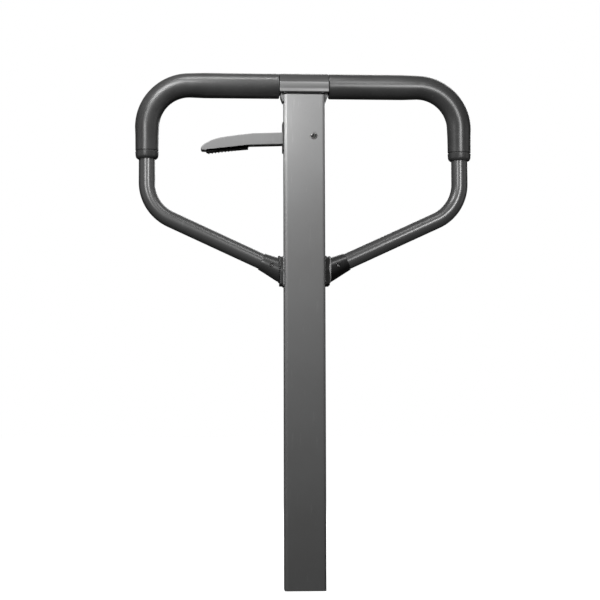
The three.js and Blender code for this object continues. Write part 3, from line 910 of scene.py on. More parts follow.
def add(piece: bpy.types.Object, *others: bpy.types.Object) -> bpy.types.Object:
    """Joins other solids to a piece."""
    return combine(piece, Operation.ADD, *others)


def drill(
    piece: bpy.types.Object, foot: Vector, along: Vector, radius: float, depth: float
) -> bpy.types.Object:
    """Drills a round hole.

    Args:
        piece: The piece.
        foot: Point that the hole starts from; the tool starts a little before it.
        along: Its direction.
        radius: Its radius.
        depth: Its depth from that point.

    Returns:
        The piece.
    """
    return cut(piece, turned("drill", foot, along, [(-PAST, radius), (depth, radius)], sides=40))


@dataclass(frozen=True)
class SteppedHole:
    """Round hole with a wider sink at its mouth, as radii and the sink's depth."""

    sink: float
    sink_depth: float
    bore: float


def drill_stepped(
    piece: bpy.types.Object, foot: Vector, along: Vector, hole: SteppedHole, depth: float
) -> None:
    """Drills a hole with a sink.

    Args:
        piece: The piece.
        foot: Point that the hole starts from.
        along: Its direction.
        hole: Its sizes.
        depth: Depth of its bore from that point.
    """
    drill(piece, foot, along, hole.sink, hole.sink_depth)
    drill(piece, foot, along, hole.bore, depth)


def slice_off(piece: bpy.types.Object, point: Vector, normal: Vector) -> None:
    """Cuts away what lies beyond a plane and closes the cut.

    Args:
        piece: The piece.
        point: Point on the plane.
        normal: Direction of the side that is cut away.
    """
    mesh = bmesh.new()
    mesh.from_mesh(piece.data)
    everything = [*mesh.verts, *mesh.edges, *mesh.faces]
    bmesh.ops.bisect_plane(mesh, geom=everything, plane_co=point, plane_no=normal, clear_outer=True)
    rims = [edge for edge in mesh.edges if edge.is_boundary]
    bmesh.ops.holes_fill(mesh, edges=rims)
    bmesh.ops.recalc_face_normals(mesh, faces=mesh.faces)
    mesh.to_mesh(piece.data)
    mesh.free()


def soften(piece: bpy.types.Object, width: float, steps: int = 2, angle: float = 50.0) -> bpy.types.Object:
    """Rounds off a piece's sharp edges.

    Args:
        piece: The piece.
        width: Width of the rounding.
        steps: Stretches across it.
        angle: Least angle between faces, in degrees, that counts as sharp.

    Returns:
        The piece.
    """
    bevel = piece.modifiers.new("soften", "BEVEL")
    bevel.width = width
    bevel.segments = steps
    bevel.limit_method = "ANGLE"
    bevel.angle_limit = math.radians(angle)
    settle(piece)
    return piece


def mark_worn_edges(mesh: bpy.types.Mesh, width: float) -> None:
    """Marks the narrow faces that round off an edge.

    Args:
        mesh: The mesh.
        width: Width below which a face counts as narrow.
    """
    least_turn = math.radians(12)
    work = bmesh.new()
    work.from_mesh(mesh)
    values = []
    for face in work.faces:
        longest = max(edge.calc_length() for edge in face.edges)
        turn = max((edge.calc_face_angle(0.0) for edge in face.edges), default=0.0)
        narrow = face.calc_area() < width * longest
        values.append(1.0 if narrow and turn > least_turn else 0.0)
    work.free()
    attribute = mesh.attributes.get(WORN) or mesh.attributes.new(WORN, "FLOAT", "FACE")
    attribute.data.foreach_set("value", values)


def smooth_faces(piece: bpy.types.Object, angle: float) -> None:
    """Shades a piece smooth, apart from its sharp edges, with its flat faces kept flat.

    Args:
        piece: The piece.
        angle: Least angle between faces, in degrees, that stays sharp.
    """
    same_place = 0.002 * MM
    work = bmesh.new()
    work.from_mesh(piece.data)
    bmesh.ops.remove_doubles(work, verts=work.verts, dist=same_place)
    bmesh.ops.dissolve_degenerate(work, edges=work.edges, dist=same_place)
    for face in work.faces:
        face.smooth = True
    for edge in work.edges:
        edge.smooth = edge.calc_face_angle(0.0) < math.radians(angle)
    work.to_mesh(piece.data)
    work.free()
    weighted = piece.modifiers.new("flat faces stay flat", "WEIGHTED_NORMAL")
    weighted.keep_sharp = True
    settle(piece)


# ---------------------------------------------------------------- geometry node trees


class Form:
    """A Geometry Nodes tree with named inputs, which ends in one plain mesh with its material."""

    def __init__(self, name: str, inputs: dict[str, str]) -> None:
        """Starts the tree.

        Args:
            name: The tree's name.
            inputs: Name and socket type of each input after the geometry.
        """
        self.tree = bpy.data.node_groups.new(name, "GeometryNodeTree")
        sockets = self.tree.interface
        sockets.new_socket("Geometry", in_out="INPUT", socket_type="NodeSocketGeometry")
        for label, kind in {**inputs, "Finish": "NodeSocketMaterial"}.items():
            sockets.new_socket(label, in_out="INPUT", socket_type=kind)
        sockets.new_socket("Geometry", in_out="OUTPUT", socket_type="NodeSocketGeometry")
        self.bench = Bench(self.tree)
        self.given = self.bench.node("NodeGroupInput").outputs

    def value(self, name: str) -> Shade:
        """An input as a value for expressions."""
        return Shade(self.bench, self.given[name])

    def attribute(self, name: str, kind: str = "FLOAT") -> bpy.types.NodeSocket:
        """A named attribute of the geometry."""
        node = self.bench.node("GeometryNodeInputNamedAttribute", {"data_type": kind}, {"Name": name})
        return node.outputs[0]

    def step(
        self, kind: str, sockets: dict[str | int, Any], settings: dict[str, Any] | None = None
    ) -> bpy.types.NodeSocket:
        """Makes a node and gives its first output."""
        return self.bench.node(kind, settings, sockets).outputs[0]

    def bent_line(self, steps: Any) -> bpy.types.NodeSocket:
        """Curve through the geometry's points, rounded at each by its bend's radius.

        Args:
            steps: Stretches in each bend.

        Returns:
            Curve output.
        """
        line = self.step("GeometryNodeMeshToCurve", {"Mesh": self.given["Geometry"]})
        fillet = {"Curve": line, "Count": steps, "Radius": self.attribute("bend")}
        return self.step("GeometryNodeFilletCurve", fillet, {"mode": "POLY"})

    def sweep(self, path: Any, sides: Any, radius: Any, scale: Any = 1.0) -> bpy.types.NodeSocket:
        """Solid bar along a path.

        Args:
            path: The curve.
            sides: Sides of its section.
            radius: Radius of its section.
            scale: Factor on the section, which may change along the path.

        Returns:
            Mesh output.
        """
        circle = {"Resolution": sides, "Radius": radius}
        section = self.step("GeometryNodeCurvePrimitiveCircle", circle)
        sockets = {"Curve": path, "Profile Curve": section, "Scale": scale, "Fill Caps": True}
        return self.step("GeometryNodeCurveToMesh", sockets)

    def end(self, geometry: bpy.types.NodeSocket) -> "Form":
        """Ends the tree in one plain mesh.

        Args:
            geometry: What the tree has made.

        Returns:
            The tree.
        """
        plain = self.step("GeometryNodeRealizeInstances", {"Geometry": geometry})
        sockets = {"Geometry": plain, "Material": self.given["Finish"]}
        dressed = self.step("GeometryNodeSetMaterial", sockets)
        self.bench.node("NodeGroupOutput", None, {0: dressed})
        return self

    def run(self, piece: bpy.types.Object, finish: Finish, **values: Any) -> bpy.types.Object:
        """Runs the tree on a piece and makes the result its mesh.

        Args:
            piece: The piece that the tree starts from.
            finish: Its finish.
            values: Inputs by name.

        Returns:
            The piece.
        """
        modifier = piece.modifiers.new(self.tree.name, "NODES")
        modifier.node_group = self.tree
        given = {**values, "Finish": finish.material()}
        for item in self.tree.interface.items_tree:
            if item.in_out == "INPUT" and item.name in given:
                modifier[item.identifier] = given[item.name]
        settle(piece)
        return piece


def bent_tube_form() -> Form:
    """Tree for a tube along a bent line, whose points give each bend's radius and the tube's girth.

    Returns:
        The tree.
    """
    form = Form("bent_tube", {"Sides": "NodeSocketInt", "Bend_steps": "NodeSocketInt"})
    bent = form.bent_line(form.value("Bend_steps"))
    return form.end(form.sweep(bent, form.value("Sides"), 1.0, form.attribute("girth")))


def weld_form() -> Form:
    """Tree for a weld bead along a bent line, with the ripples that the torch leaves.

    Returns:
        The tree.
    """
    bend_steps, sides, swell, steps_per_ripple = 6, 10, 0.16, 5
    form = Form("weld_bead", {"Girth": "NodeSocketFloat", "Ripple": "NodeSocketFloat"})
    close = {"Curve": form.bent_line(bend_steps), "Length": form.value("Ripple") * (1 / steps_per_ripple)}
    path = form.step("GeometryNodeResampleCurve", close, {"mode": "LENGTH"})
    length = form.bench.shade(form.bench.node("GeometryNodeSplineParameter"), "Length")
    ripple = (length / form.value("Ripple") * (2 * math.pi)).sine() * swell + 1.0
    return form.end(form.sweep(path, sides, 1.0, ripple * form.value("Girth")))


def copies_form() -> Form:
    """Tree for copies of one fastener, one at each point, standing along the point's facing.

    Returns:
        The tree.
    """
    form = Form("fastener_copies", {"Fastener": "NodeSocketObject"})
    part = form.bench.node("GeometryNodeObjectInfo", None, {"Object": form.given["Fastener"]})
    facing = {"Vector": form.attribute("facing", "FLOAT_VECTOR")}
    sockets = {
        "Points": form.given["Geometry"],
        "Instance": part.outputs["Geometry"],
        "Rotation": form.step("FunctionNodeAlignRotationToVector", facing, {"axis": "Z"}),
    }
    return form.end(form.step("GeometryNodeInstanceOnPoints", sockets))


def coil_form() -> Form:
    """Tree for a helical wire that stands on a point.

    Returns:
        The tree.
    """
    turn_steps, sides = 28, 12
    lengths = {name: "NodeSocketFloat" for name in ("Turns", "Coil_radius", "Height", "Wire")}
    form = Form("wire_coil", {**lengths, "Foot": "NodeSocketVector"})
    helix = {
        "Resolution": turn_steps,
        "Rotations": form.value("Turns"),
        "Start Radius": form.value("Coil_radius"),
        "End Radius": form.value("Coil_radius"),
        "Height": form.value("Height"),
    }
    path = form.step("GeometryNodeCurveSpiral", helix)
    wire = form.sweep(path, sides, form.value("Wire") * 0.5)
    moved = {"Geometry": wire, "Translation": form.value("Foot")}
    return form.end(form.step("GeometryNodeTransform", moved))


@dataclass(frozen=True)
class Station:
    """Point of a bent line, with the bend's radius and the tube's girth there."""

    place: Vector
    bend: float = 0.0
    girth: float = 0.0


def line_of(name: str, stations: Sequence[Station], closed: bool = False) -> bpy.types.Object:
    """Draws the line that a bent tube or a weld follows.

    Args:
        name: The object's name.
        stations: Its points.
        closed: Whether it comes back to its start.

    Returns:
        An object of edges with the attributes that the trees read.
    """
    data = bpy.data.meshes.new(name)
    count = len(stations)
    edges = [(i, i + 1) for i in range(count - 1)] + ([(count - 1, 0)] if closed else [])
    data.from_pydata([s.place for s in stations], edges, [])
    for label in ("bend", "girth"):
        attribute = data.attributes.new(label, "FLOAT", "POINT")
        attribute.data.foreach_set("value", [getattr(s, label) for s in stations])
    return into_scene(name, data)


def points_of(name: str, places: Sequence[tuple[Vector, Vector]]) -> bpy.types.Object:
    """Sets out the points that fasteners stand at.

    Args:
        name: The object's name.
        places: Place and facing of each.

    Returns:
        An object of points.
    """
    data = bpy.data.meshes.new(name)
    data.from_pydata([place for place, _ in places], [], [])
    attribute = data.attributes.new("facing", "FLOAT_VECTOR", "POINT")
    attribute.data.foreach_set("vector", [c for _, facing in places for c in facing])
    return into_scene(name, data)


# ---------------------------------------------------------------- sub-assemblies


@dataclass
class Forms:
    """The node trees that the sub-assemblies share."""

    tube: Form = field(default_factory=bent_tube_form)
    weld: Form = field(default_factory=weld_form)
    copies: Form = field(default_factory=copies_form)
    coil: Form = field(default_factory=coil_form)


@dataclass
class SubAssembly:
    """Pieces that are built and dressed together."""

    forms: Forms

    def dress(
        self,
        piece: bpy.types.Object,
        finish: Finish,
        body: Body,
        *nodes: str,
        sharp: float = 38.0,
        narrow: float = 1.0 * MM,
    ) -> bpy.types.Object:
        """Finishes a piece and ties it to the frame.

        Args:
            piece: The piece, in place.
            finish: Its finish.
            body: Body that it rides on.
            nodes: Nodes of the frame that it stands for.
            sharp: Least angle between faces, in degrees, that is shaded sharp.
            narrow: Width below which a face counts as a rounded edge.

        Returns:
            The piece.
        """
        smooth_faces(piece, sharp)
        mark_worn_edges(piece.data, narrow)
        piece.data.materials.clear()
        piece.data.materials.append(finish.material())
        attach(piece, body.value)
        if nodes:
            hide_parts(*nodes)
        LOG.info("%s: %d faces, rides on %s", piece.name, len(piece.data.polygons), body.value)
        return piece

    def place_copies(
        self,
        name: str,
        fastener: bpy.types.Object,
        finish: Finish,
        places: Sequence[tuple[Vector, Vector]],
        *nodes: str,
    ) -> bpy.types.Object:
        """Sets out one fastener several times on the frame.

        Args:
            name: The piece's name.
            fastener: The fastener, with its head's top at the origin and facing +Z; it is used up.
            finish: Its finish.
            places: Place and facing of each.
            nodes: Nodes that they stand for.

        Returns:
            The piece.
        """
        piece = self.forms.copies.run(points_of(name, places), finish, Fastener=fastener)
        bpy.data.objects.remove(fastener)
        return self.dress(piece, finish, Body.FRAME, *nodes, narrow=0.5 * MM)


@dataclass
class ShaftAssembly(SubAssembly):
    """Box-section shaft with its head, cover, dust frame, guides and foot inserts."""

    corner: float = 4 * MM
    wall: float = 3 * MM
    inner_corner: float = 1 * MM
    shadow_gap: float = 3.4 * MM
    pin_hole: float = 4.2 * MM
    screw_hole: float = 2.3 * MM
    rod_hole: float = 3.6 * MM
    screw_head: float = 4 * MM
    screw_shank: float = 2 * MM
    cover_screw: SteppedHole = SteppedHole(4.3 * MM, 2.9 * MM, 2.3 * MM)
    guide_screw: SteppedHole = SteppedHole(4.3 * MM, 2.5 * MM, 2.3 * MM)
    rivet: SteppedHole = SteppedHole(4.1 * MM, 1.7 * MM, 2.3 * MM)
    insert_seat: SteppedHole = SteppedHole(5.8 * MM, 1.8 * MM, 4.8 * MM)

    def build(self) -> None:
        """Builds and dresses every piece."""
        self.shaft()
        self.saddle()
        self.cover()
        self.dust_frame()
        self.guide("rod_guide_upper", "upper_guide", "upper_guide_screw")
        self.guide("rod_guide_foot", "foot_guide", "foot_guide_screw")
        self.fasteners()

    def shaft(self) -> None:
        """The box section, with its lever slot and holes."""
        room = Room.of("shaft_tube")
        half_x, half_y, top = room.size.x / 2, room.size.y / 2, room.high.z
        in_x, in_y, through = half_x - self.wall, half_y - self.wall, self.wall + PAST
        outer = rectangle(-half_x, half_x, -half_y, half_y, self.corner, steps=8)
        inner = rectangle(-in_x, in_x, -in_y, in_y, self.inner_corner, steps=3)
        shaft = prism("box_shaft", Axis.Z, outer, 0.0, top)
        cut(shaft, prism("hollow", Axis.Z, inner, -PAST, top + PAST))
        lip = Room.of("slot_grommet")
        slot_half, slot_end, slot_corner = 9.6 * MM, 1.2 * MM, 0.8 * MM
        slot = rectangle(-slot_half, slot_half, lip.low.z + slot_end, lip.high.z - slot_end, slot_corner)
        cut(shaft, prism("slot", Axis.X, slot, -half_x - PAST, -in_x + PAST))
        pin = Room.of("pivot_pin").centre
        drill(shaft, Vector((pin.x, -half_y, pin.z)), Axis.Y.along, self.pin_hole, room.size.y + PAST)
        for name in ("upper_guide_screw", "foot_guide_screw"):
            screw = Room.of(name).centre
            back = Vector((screw.x, half_y, screw.z))
            drill_stepped(shaft, back, -Axis.Y.along, self.guide_screw, through)
        for name in ("leaf_rivet_front", "leaf_rivet_back"):
            rivet = Room.of(name).centre
            right = Vector((half_x, rivet.y, rivet.z))
            drill_stepped(shaft, right, -Axis.X.along, self.rivet, through)
        for name, side in self.insert_sides().items():
            face = Vector((side.value * half_x, 0.0, Room.of(name).centre.z))
            drill_stepped(shaft, face, Axis.X.along * -side.value, self.insert_seat, through)
        soften(shaft, width=0.25 * MM)
        self.dress(shaft, SHAFT_PAINT, Body.FRAME, "shaft_tube")

    @staticmethod
    def insert_sides() -> dict[str, Side]:
        """Threaded inserts by node name, with the side of the shaft that each is on."""
        return {f"threaded_insert_{side.word}_{i}": side for side in Side for i in (1, 2)}

    def saddle(self) -> None:
        """Cast head: a cradle under the loop's bar, skirts at the shaft's sides and a spigot inside."""
        room, bar_z = Room.of("saddle"), bar_height()
        outer, waist, lip, reach = 15.3 * MM, 14.5 * MM, 15.2 * MM, room.high.x
        rise, shaft_top = room.high.z - bar_z, Room.of("shaft_tube").high.z
        underside = shaft_top + self.shadow_gap
        lip_angle = math.degrees(math.asin(rise / outer))
        right = arc((0.0, bar_z), outer, lip_angle, -10.0, steps=8)
        right += [
            (waist, bar_z - 4.4 * MM),
            (waist, bar_z - 5.6 * MM),
            (lip, bar_z - 7.6 * MM),
            (lip, underside + 0.5 * MM),
            (lip - 0.5 * MM, underside),
        ]
        section = right + [(-y, z) for y, z in reversed(right)]
        head = prism("saddle_casting", Axis.X, section, -reach, reach, rim=0.6 * MM)
        wall, skirt_half, skirt_end = Room.of("shaft_tube").high.x + HAIR, 9.7 * MM, room.low.z + 2 * MM
        skirt = [
            (wall, shaft_top + 5 * MM, 0.0),
            (reach - 1.0 * MM, shaft_top + 5 * MM, 0.0),
            (reach - 1.2 * MM, shaft_top - 1.5 * MM, 3 * MM),
            (wall + 1.1 * MM, skirt_end, 1.2 * MM),
            (wall, skirt_end, 0.0),
        ]
        for side in Side:
            outline = rounded_corners([(side.value * x, z, radius) for x, z, radius in skirt])
            add(head, prism("skirt", Axis.Y, outline, -skirt_half, skirt_half))
        neck_x, neck_y, spigot_x, spigot_y = 20 * MM, 8 * MM, 21.4 * MM, 11.4 * MM
        neck = rectangle(-neck_x, neck_x, -neck_y, neck_y, 2 * MM)
        add(head, prism("neck", Axis.Z, neck, shaft_top - 4 * MM, bar_z - 8 * MM))
        spigot = rectangle(-spigot_x, spigot_x, -spigot_y, spigot_y, 1.5 * MM)
        add(head, prism("spigot", Axis.Z, spigot, room.low.z, shaft_top - 0.4 * MM, rim=0.8 * MM))
        bore = [(-reach - PAST, BAR_BORE), (reach + PAST, BAR_BORE)]
        cut(head, turned("bore", Vector((0, 0, bar_z)), Axis.X.along, bore, sides=64))
        soften(head, width=0.35 * MM, steps=3)
        self.dress(head, SHAFT_PAINT, Body.FRAME, "saddle")

    def cover(self) -> None:
        """Moulded cover over the bar between the grips."""
        room = Room.of("bridge_cap")
        bar_z, screw_depth = room.high.z - GRIP_RADIUS, 8 * MM
        rise = room.low.z - bar_z
        lip_angle = math.degrees(math.asin(rise / GRIP_RADIUS))
        bore_angle = math.degrees(math.asin(rise / BAR_BORE))
        section = arc((0.0, bar_z), GRIP_RADIUS, lip_angle, 180 - lip_angle, steps=40)
        section += arc((0.0, bar_z), BAR_BORE, 180 - bore_angle, bore_angle, steps=28)
        cover = prism("bridge_cover", Axis.X, section, room.low.x, room.high.x, rim=0.5 * MM, steps=4)
        for name in ("cap_screw_left", "cap_screw_right"):
            top = Vector((Room.of(name).centre.x, 0.0, room.high.z))
            drill_stepped(cover, top, -Axis.Z.along, self.cover_screw, screw_depth)
        soften(cover, width=0.3 * MM)
        self.dress(cover, BLACK_MOULDING, Body.FRAME, "bridge_cap")

    def dust_frame(self) -> None:
        """Moulded frame round the lever's slot."""
        room = Room.of("slot_grommet")
        half, lip_half, open_half = room.high.y, 9.3 * MM, 8.6 * MM
        step, open_step, corner = 1.5 * MM, 2.2 * MM, 0.6 * MM
        flange_end, lip_start = room.low.x + 1.2 * MM, room.low.x + 0.6 * MM
        low, high = room.low.z, room.high.z
        flange = rectangle(-half, half, low, high, 2.2 * MM)
        lip = rectangle(-lip_half, lip_half, low + step, high - step, corner)
        opening = rectangle(-open_half, open_half, low + open_step, high - open_step, corner)
        piece = prism("slot_dust_frame", Axis.X, flange, room.low.x, flange_end, rim=0.5 * MM)
        add(piece, prism("lip", Axis.X, lip, lip_start, room.high.x))
        cut(piece, prism("opening", Axis.X, opening, room.low.x - PAST, room.high.x + PAST))
        soften(piece, width=0.2 * MM)
        self.dress(piece, BLACK_MOULDING, Body.FRAME, "slot_grommet")

    def guide(self, name: str, node: str, screw: str) -> None:
        """Nylon plug that guides the rod, hollowed from below as a moulding is.

        Args:
            name: The piece's name.
            node: The node that it stands for.
            screw: Node of the screw that holds it.
        """
        room, hold, centre = Room.of(node), Room.of(screw), Room.of("pull_rod").centre
        section = rectangle(room.low.x, room.high.x, room.low.y, room.high.y, self.inner_corner)
        plug = prism(name, Axis.Z, section, room.low.z, room.high.z, rim=0.5 * MM)
        foot = Vector((centre.x, 0.0, room.low.z))
        drill(plug, foot, Axis.Z.along, self.rod_hole, room.size.z + PAST)
        mouth, throat, lead_in = 6.6 * MM, 3.0 * MM, 2.4 * MM
        cut(plug, turned("lead-in", foot, Axis.Z.along, [(-PAST, mouth), (lead_in, throat)]))
        back, screw_depth = Vector((hold.centre.x, room.high.y, room.centre.z)), 9.3 * MM
        drill(plug, back, -Axis.Y.along, self.screw_hole, screw_depth)
        pocket_x, pocket_y, roof = 2.4 * MM, 8 * MM, room.high.z - 2.5 * MM
        for x in (-17.5 * MM, 16.5 * MM):
            pocket = rectangle(x - pocket_x, x + pocket_x, -pocket_y, pocket_y, 1.2 * MM)
            cut(plug, prism("pocket", Axis.Z, pocket, room.low.z - PAST, roof, rim=0.5 * MM))
        soften(plug, width=0.2 * MM)
        self.dress(plug, NYLON, Body.FRAME, node)

    def fasteners(self) -> None:
        """Cover screws, guide screws and the foot's threaded inserts."""
        names = ("cap_screw_left", "cap_screw_right")
        rooms = [Room.of(name) for name in names]
        places = [(Vector((room.centre.x, 0.0, room.high.z)), Axis.Z.along) for room in rooms]
        self.place_copies("cover_screws", self.screw(10 * MM, 0.7 * MM), ZINC, places, *names)
        names = ("upper_guide_screw", "foot_guide_screw")
        rooms = [Room.of(name) for name in names]
        places = [(Vector((room.centre.x, room.high.y, room.centre.z)), Axis.Y.along) for room in rooms]
        self.place_copies("guide_screws", self.screw(11.6 * MM, 0.25 * MM), ZINC, places, *names)
        sides = self.insert_sides()
        places = []
        for name, side in sides.items():
            room = Room.of(name)
            outside = room.high.x if side is Side.RIGHT else room.low.x
            places.append((Vector((outside, 0.0, room.centre.z)), Axis.X.along * side.value))
        self.place_copies("side_inserts", self.insert(), ZINC, places, *sides)

    def screw(self, length: float, crown: float) -> bpy.types.Object:
        """Machine screw with a hexagon socket, its top at the origin and facing +Z.

        Args:
            length: Whole length.
            crown: Height over which its head's top rounds off.

        Returns:
            The screw.
        """
        head, shank, head_height, pitch = self.screw_head, self.screw_shank, 2.2 * MM, 0.7 * MM
        relief, chamfer = 0.4 * MM, 0.15 * MM
        neck = length - head_height
        profile = thread_profile(0.0, neck - relief, shank, pitch)
        profile += [(neck, shank * 0.95), (neck, head - chamfer), (neck + chamfer, head)]
        profile += [(length - crown, head)]
        profile += [(length - crown * 0.35, head - crown * 0.7), (length, head - crown * 1.6)]
        made = turned("screw", Vector((0, 0, -length)), Axis.Z.along, profile, sides=40)
        key, key_depth = 1.25 * MM, 1.5 * MM
        turns = [k * math.pi / 3 for k in range(6)]
        socket = [(key * math.cos(a), key * math.sin(a)) for a in turns]
        cut(made, prism("key", Axis.Z, socket, -key_depth, PAST))
        return soften(made, width=0.1 * MM, angle=55)

    @staticmethod
    def insert() -> bpy.types.Object:
        """Threaded insert with a flat flange, its top at the origin and facing +Z.

        Returns:
            The insert.
        """
        head, body, bore, length, flange = 5.5 * MM, 4.5 * MM, 3.4 * MM, 8 * MM, 1.5 * MM
        lead, chamfer, edge, mouth = 0.3 * MM, 0.15 * MM, 0.25 * MM, bore + 0.4 * MM
        thread_end, pitch = 0.6 * MM, 1.0 * MM
        under_head = length - flange
        profile = [(0.0, body - lead), (lead, body), (under_head, body)]
        profile += [(under_head, head - chamfer), (under_head + chamfer, head)]
        profile += [(length - edge, head), (length, head - edge), (length, mouth)]
        grooves = thread_profile(thread_end, length - thread_end, 0.0, pitch)
        profile += [(distance, bore - depth) for distance, depth in reversed(grooves)]
        profile += [(0.0, mouth)]
        return turned("insert", Vector((0, 0, -length)), Axis.Z.along, profile, sides=40, around=True)


@dataclass
class LoopAssembly(SubAssembly):
    """Bent tube loop with two grips, and the collars and pins that hold it to the shaft."""

    tube: float = 10 * MM
    half_width: float = 192 * MM
    top_bend: float = 52 * MM
    low_bend: float = 50 * MM
    corner_drop: float = 152 * MM
    joint_drop: float = 229 * MM
    collar_root: float = 14.5 * MM
    collar_mouth: float = 12 * MM
    collar_length: float = 30 * MM
    flange_half: float = 17.5 * MM
    flange_end: float = 5.3 * MM
    side_grip: float = 14.2 * MM
    bead: float = 1.1 * MM
    ripple: float = 1.8 * MM
    root_ripple: float = 2.2 * MM
    bar_z: float = 0.0
    joint: Vector = field(default_factory=Vector)
    diagonal: Vector = field(default_factory=Vector)

    def build(self) -> None:
        """Builds and dresses every piece."""
        self.bar_z = bar_height()
        self.joint = Vector((Room.of("shaft_tube").high.x, 0.0, self.bar_z - self.joint_drop))
        low = Vector((self.half_width, 0.0, self.bar_z - self.corner_drop))
        self.diagonal = (low - self.joint).normalized()
        self.loop(low)
        for side in Side:
            self.grip(side)
            self.collar(side)
        self.pins()

    def loop(self, low: Vector) -> None:
        """The loop's tube, from one side of the shaft over the top to the other.

        Args:
            low: Where the right side's line meets the slanted one.
        """
        start = self.joint - self.diagonal * 12 * MM
        top = Vector((self.half_width, 0.0, self.bar_z))
        half = [(start, 0.0), (low, self.low_bend), (top, self.top_bend)]
        stations = [Station(Side.LEFT.mirror(place), bend, self.tube) for place, bend in half]
        stations += [Station(place, bend, self.tube) for place, bend in reversed(half)]
        piece = self.forms.tube.run(line_of("bent_loop", stations), LOOP_PAINT, Sides=48, Bend_steps=18)
        outer, reach, depth = self.joint.x + HAIR, 60 * MM, 20 * MM
        shaft_room = rectangle(-outer, outer, self.joint.z - reach, self.joint.z + reach, 0.0)
        cut(piece, prism("shaft_room", Axis.Y, shaft_room, -depth, depth))
        self.dress(piece, LOOP_PAINT, Body.FRAME, "loop_tube")

    def grip(self, side: Side) -> None:
        """Rubber sleeve over half of the bar, the corner and the top of the loop's side.

        Args:
            side: Side of the shaft.
        """
        full, slim, end = GRIP_RADIUS, self.side_grip, Room.of(f"grip_{side.word}").low.z
        x_end, corner_x = Room.of("bridge_cap").high.x + HAIR, self.half_width
        along = [
            (x_end, full - 1.2 * MM),
            (x_end + 0.5 * MM, full - 0.3 * MM),
            (x_end + 1.5 * MM, full),
            (corner_x - 70 * MM, full),
        ]
        down = [
            (self.bar_z - 62 * MM, slim + 0.2 * MM),
            (end + 10.5 * MM, slim),
            (end + 9.8 * MM, slim - 0.7 * MM),
            (end + 9.2 * MM, slim - 0.7 * MM),
            (end + 8.5 * MM, slim + 0.1 * MM),
            (end + 3.5 * MM, slim - 0.3 * MM),
            (end + 1.4 * MM, slim - 1.0 * MM),
            (end, slim - 2.4 * MM),
        ]
        corner = side.mirror(Vector((corner_x, 0, self.bar_z)))
        stations = [Station(side.mirror(Vector((x, 0, self.bar_z))), girth=girth) for x, girth in along]
        stations.append(Station(corner, self.top_bend, (full + slim) / 2))
        stations += [Station(Vector((corner.x, 0, z)), girth=girth) for z, girth in down]
        line = line_of(f"{side.word}_grip", stations)
        piece = self.forms.tube.run(line, GRIP_RUBBER, Sides=56, Bend_steps=20)
        bore = [
            Station(side.mirror(Vector((x_end - PAST, 0, self.bar_z))), girth=BAR_BORE),
            Station(corner, self.top_bend, BAR_BORE),
            Station(Vector((corner.x, 0, end - PAST)), girth=BAR_BORE),
        ]
        cut(piece, self.forms.tube.run(line_of("bore", bore), GRIP_RUBBER, Sides=48, Bend_steps=20))
        self.dress(piece, GRIP_RUBBER, Body.FRAME, f"grip_{side.word}", narrow=0.2 * MM)

    def collar(self, side: Side) -> None:
        """Tapered collar with its flange, and the weld beads at both ends of the flange.

        Args:
            side: Side of the shaft.
        """
        axis, foot = side.mirror(self.diagonal), side.mirror(self.joint)
        mouth, root, length = self.collar_mouth, self.collar_root, self.collar_length
        profile = [
            (-12 * MM, root + 1.0 * MM),
            (4 * MM, root),
            (length - 9 * MM, mouth + 0.1 * MM),
            (length - 4 * MM, mouth - 0.5 * MM),
            (length - 0.6 * MM, mouth - 1.0 * MM),
            (length - 0.1 * MM, mouth - 1.2 * MM),
            (length, mouth - 1.4 * MM),
        ]
        piece = turned(f"{side.word}_collar", foot, axis, profile, sides=56)
        face, end = side.value * (self.joint.x + HAIR), side.value * (self.joint.x + self.flange_end)
        room = Room.of(f"loop_socket_{side.word}")
        plate_z = (self.joint.z - self.flange_half, self.joint.z + self.flange_half)
        plate = rectangle(room.low.y, room.high.y, *plate_z, 2.5 * MM)
        add(piece, prism("flange", Axis.X, plate, min(face, end), max(face, end), rim=0.5 * MM))
        slice_off(piece, Vector((face, 0, 0)), Vector((-side.value, 0, 0)))
        bore = [(-40 * MM, BAR_BORE), (length + PAST, BAR_BORE)]
        cut(piece, turned("bore", foot, axis, bore, sides=48))
        pin, pin_hole, through = Room.of(f"socket_pin_{side.word}").centre, 2.7 * MM, 42 * MM
        drill(piece, Vector((pin.x, -20 * MM, pin.z)), Axis.Y.along, pin_hole, through)
        soften(piece, width=0.4 * MM, steps=3)
        self.dress(piece, LOOP_PAINT, Body.FRAME, f"loop_socket_{side.word}")
        self.weld(side, plate_z)
        self.root_weld(side)

    def weld(self, side: Side, plate_z: tuple[float, float]) -> None:
        """Bead round a flange where it meets the shaft.

        Args:
            side: Side of the shaft.
            plate_z: The flange's lower and upper edge.
        """
        x, y, bend = side.value * (self.joint.x + 0.5 * MM), 13.6 * MM, 2 * MM
        low, high = plate_z
        corners = [(-y, low), (y, low), (y, high), (-y, high)]
        stations = [Station(Vector((x, *corner)), bend) for corner in corners]
        # Painted light: the left bead takes the shaft's light paint as a painted highlight, and the right
        # bead takes the loop's dark paint as painted shade.
        finish = SHAFT_PAINT if side is Side.LEFT else LOOP_PAINT
        self.lay_bead(f"{side.word}_weld", stations, finish, self.bead, self.ripple)

    def root_weld(self, side: Side) -> None:
        """Bead round a collar where it meets its flange.

        Args:
            side: Side of the shaft.
        """
        out, half_y, half_z, count = 5.7 * MM, 13.2 * MM, 15.2 * MM, 28
        centre_z = self.joint.z + out * self.diagonal.z / self.diagonal.x
        stations = []
        for k in range(count):
            turn = 2 * math.pi * k / count
            y, z = half_y * math.cos(turn), centre_z + half_z * math.sin(turn)
            stations.append(Station(side.mirror(Vector((self.joint.x + out, y, z)))))
        # Painted light: the left root bead takes the loop's dark paint as painted shade, and the right one
        # takes the shaft's light paint as a painted highlight.
        finish = LOOP_PAINT if side is Side.LEFT else SHAFT_PAINT
        self.lay_bead(f"{side.word}_root_weld", stations, finish, 1.4 * self.bead, self.root_ripple)

